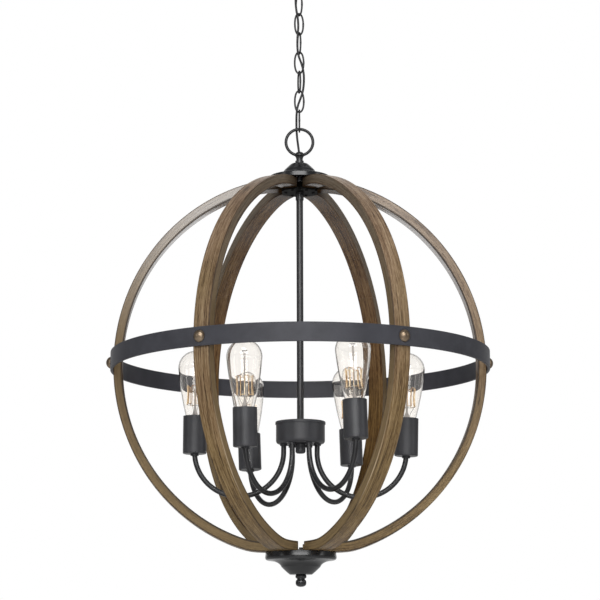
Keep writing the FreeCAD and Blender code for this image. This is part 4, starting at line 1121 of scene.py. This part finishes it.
kept = {
    "mounting_bar": zinc, "canopy_nipple": zinc, "nipple_nut": zinc, "top_nipple": zinc, "rib_screws": mattBlack,
    "stem_nuts": zinc, "bottom_stud": blackPaint, "swivel_head": blackPaint, "top_plate": mattBlack,
    "bottom_plate": mattBlack, "stem_coupling": blackPaint, "arm_nuts": hubCharcoal, "inner_wires": sheath,
    "lampholders": porcelain,
}
keptShading = {"weld": 1e-5, "sharpDegrees": 28}
for name, material in kept.items():
    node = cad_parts[name]
    node.data.materials.clear()
    node.data.materials.append(material)
    node.data.polygons.foreach_set("use_smooth", np.ones(len(node.data.polygons), bool))
    node.modifiers.new("weld", "WELD").merge_threshold = keptShading["weld"]
    node.modifiers.new("split", "EDGE_SPLIT").split_angle = math.radians(keptShading["sharpDegrees"])
print("finishes of the kept nodes made")


# floor, lamps and surround

room = {"floor": -2.4, "half": 9.0, "glow": 0.55, "gloss": 0.3}


def makeRoom():
    line = np.linspace(-room["half"], room["half"], 5)
    x, y = np.meshgrid(line, line, indexing="ij")
    points = np.stack([x, y, 0 * x + room["floor"]], -1)
    material, tree, shader = startMaterial("paleFloor", Roughness=0.9, Base_Color=(0.86, 0.86, 0.86, 1))
    glow = tree.nodes.new("ShaderNodeEmission")
    rays = tree.nodes.new("ShaderNodeLightPath")
    seen = larger(tree, times(tree, rays.outputs["Is Glossy Ray"], room["gloss"]),
                  larger(tree, rays.outputs["Is Camera Ray"], rays.outputs["Is Transmission Ray"]))
    both = mixShaderNode(tree, times(tree, seen, room["glow"]), shader.outputs["BSDF"], glow.outputs["Emission"])
    tree.links.new(both, tree.nodes["Material Output"].inputs["Surface"])
    makeObject("paleFloor", [(points[::-1], False, False, None, None)], material)


makeRoom()

lamps = [
    # name, place, aim, width, height, watts
    ("overCamera", (-0.05, -3.6, 0.62), (0, 0, -0.65), 3.3, 1.2, 88.0),
    ("left", (-2.6, -1.4, 0.1), (0, 0, -0.65), 0.6, 2.0, 6.5),
    ("right", (2.7, -0.9, 0.2), (0, 0, -0.65), 0.6, 2.0, 8.0),
    ("frontStrip", (-0.3, -3.6, -0.75), (0, 0, -0.75), 0.3, 1.3, 4.5),
    ("highFront", (-0.1, -2.4, 1.7), (0, 0, -0.6), 1.6, 0.8, 26.0),
    ("low", (0.0, -1.8, -2.2), (0, 0, -0.8), 0.9, 0.3, 1.3),
    ("above", (0.2, 0.4, 1.7), (0, 0, -0.6), 1.8, 1.8, 3.5),
    ("capFront", (0.0, -3.6, -0.88), (0, 0, -1.0), 2.4, 0.22, 9.0),
    ("capWide", (0.0, -3.6, -0.88), (0, 0, -1.0), 6.4, 0.22, 8.0),
    ("below", (0.0, -0.7, -2.3), (0, 0, -0.9), 0.6, 0.1, 0.07),
]
for name, place, aim, width, height, watts in lamps:
    lamp = bpy.data.lights.new(name, "AREA")
    lamp.shape = "RECTANGLE"
    lamp.size, lamp.size_y, lamp.energy = width, height, watts
    stand = bpy.data.objects.new(name, lamp)
    stand.location = place
    toward = np.array(aim) - np.array(place)
    stand.rotation_euler = (math.acos(-toward[2] / np.linalg.norm(toward)), 0,
                            math.atan2(toward[1], toward[0]) - math.pi / 2)
    scene.collection.objects.link(stand)

# the backdrop is white to the camera and through glass. Metal and varnish reflect it where it stands, behind the
# light, and the greyer room elsewhere
surround = {"room": 0.25, "fill": 0.4, "behind": (0, 0.983, 0.184), "backdrop": (0.76, 0.93)}
world = bpy.data.worlds.new("surround")
scene.world = world
world.use_nodes = True
tree = world.node_tree
background = tree.nodes["Background"]
background.inputs["Color"].default_value = (1, 1, 1, 1)
rays = tree.nodes.new("ShaderNodeLightPath")
direct = larger(tree, rays.outputs["Is Camera Ray"], rays.outputs["Is Transmission Ray"])
behind = tree.nodes.new("ShaderNodeVectorMath")
behind.operation = "DOT_PRODUCT"
behind.inputs[1].default_value = surround["behind"]
tree.links.new(coordinates(tree, "Generated"), behind.inputs[0])
backdrop = rangeNode(tree, behind.outputs["Value"], *surround["backdrop"], surround["room"], 1.0)
glossy = times(tree, rays.outputs["Is Glossy Ray"], backdrop)
others = restOf(tree, rays.outputs["Is Glossy Ray"])
soft = plus(tree, glossy, times(tree, others, surround["fill"]))
tree.links.new(larger(tree, direct, soft), background.inputs["Strength"])

scene.view_settings.view_transform = "Standard"
print("stage made")
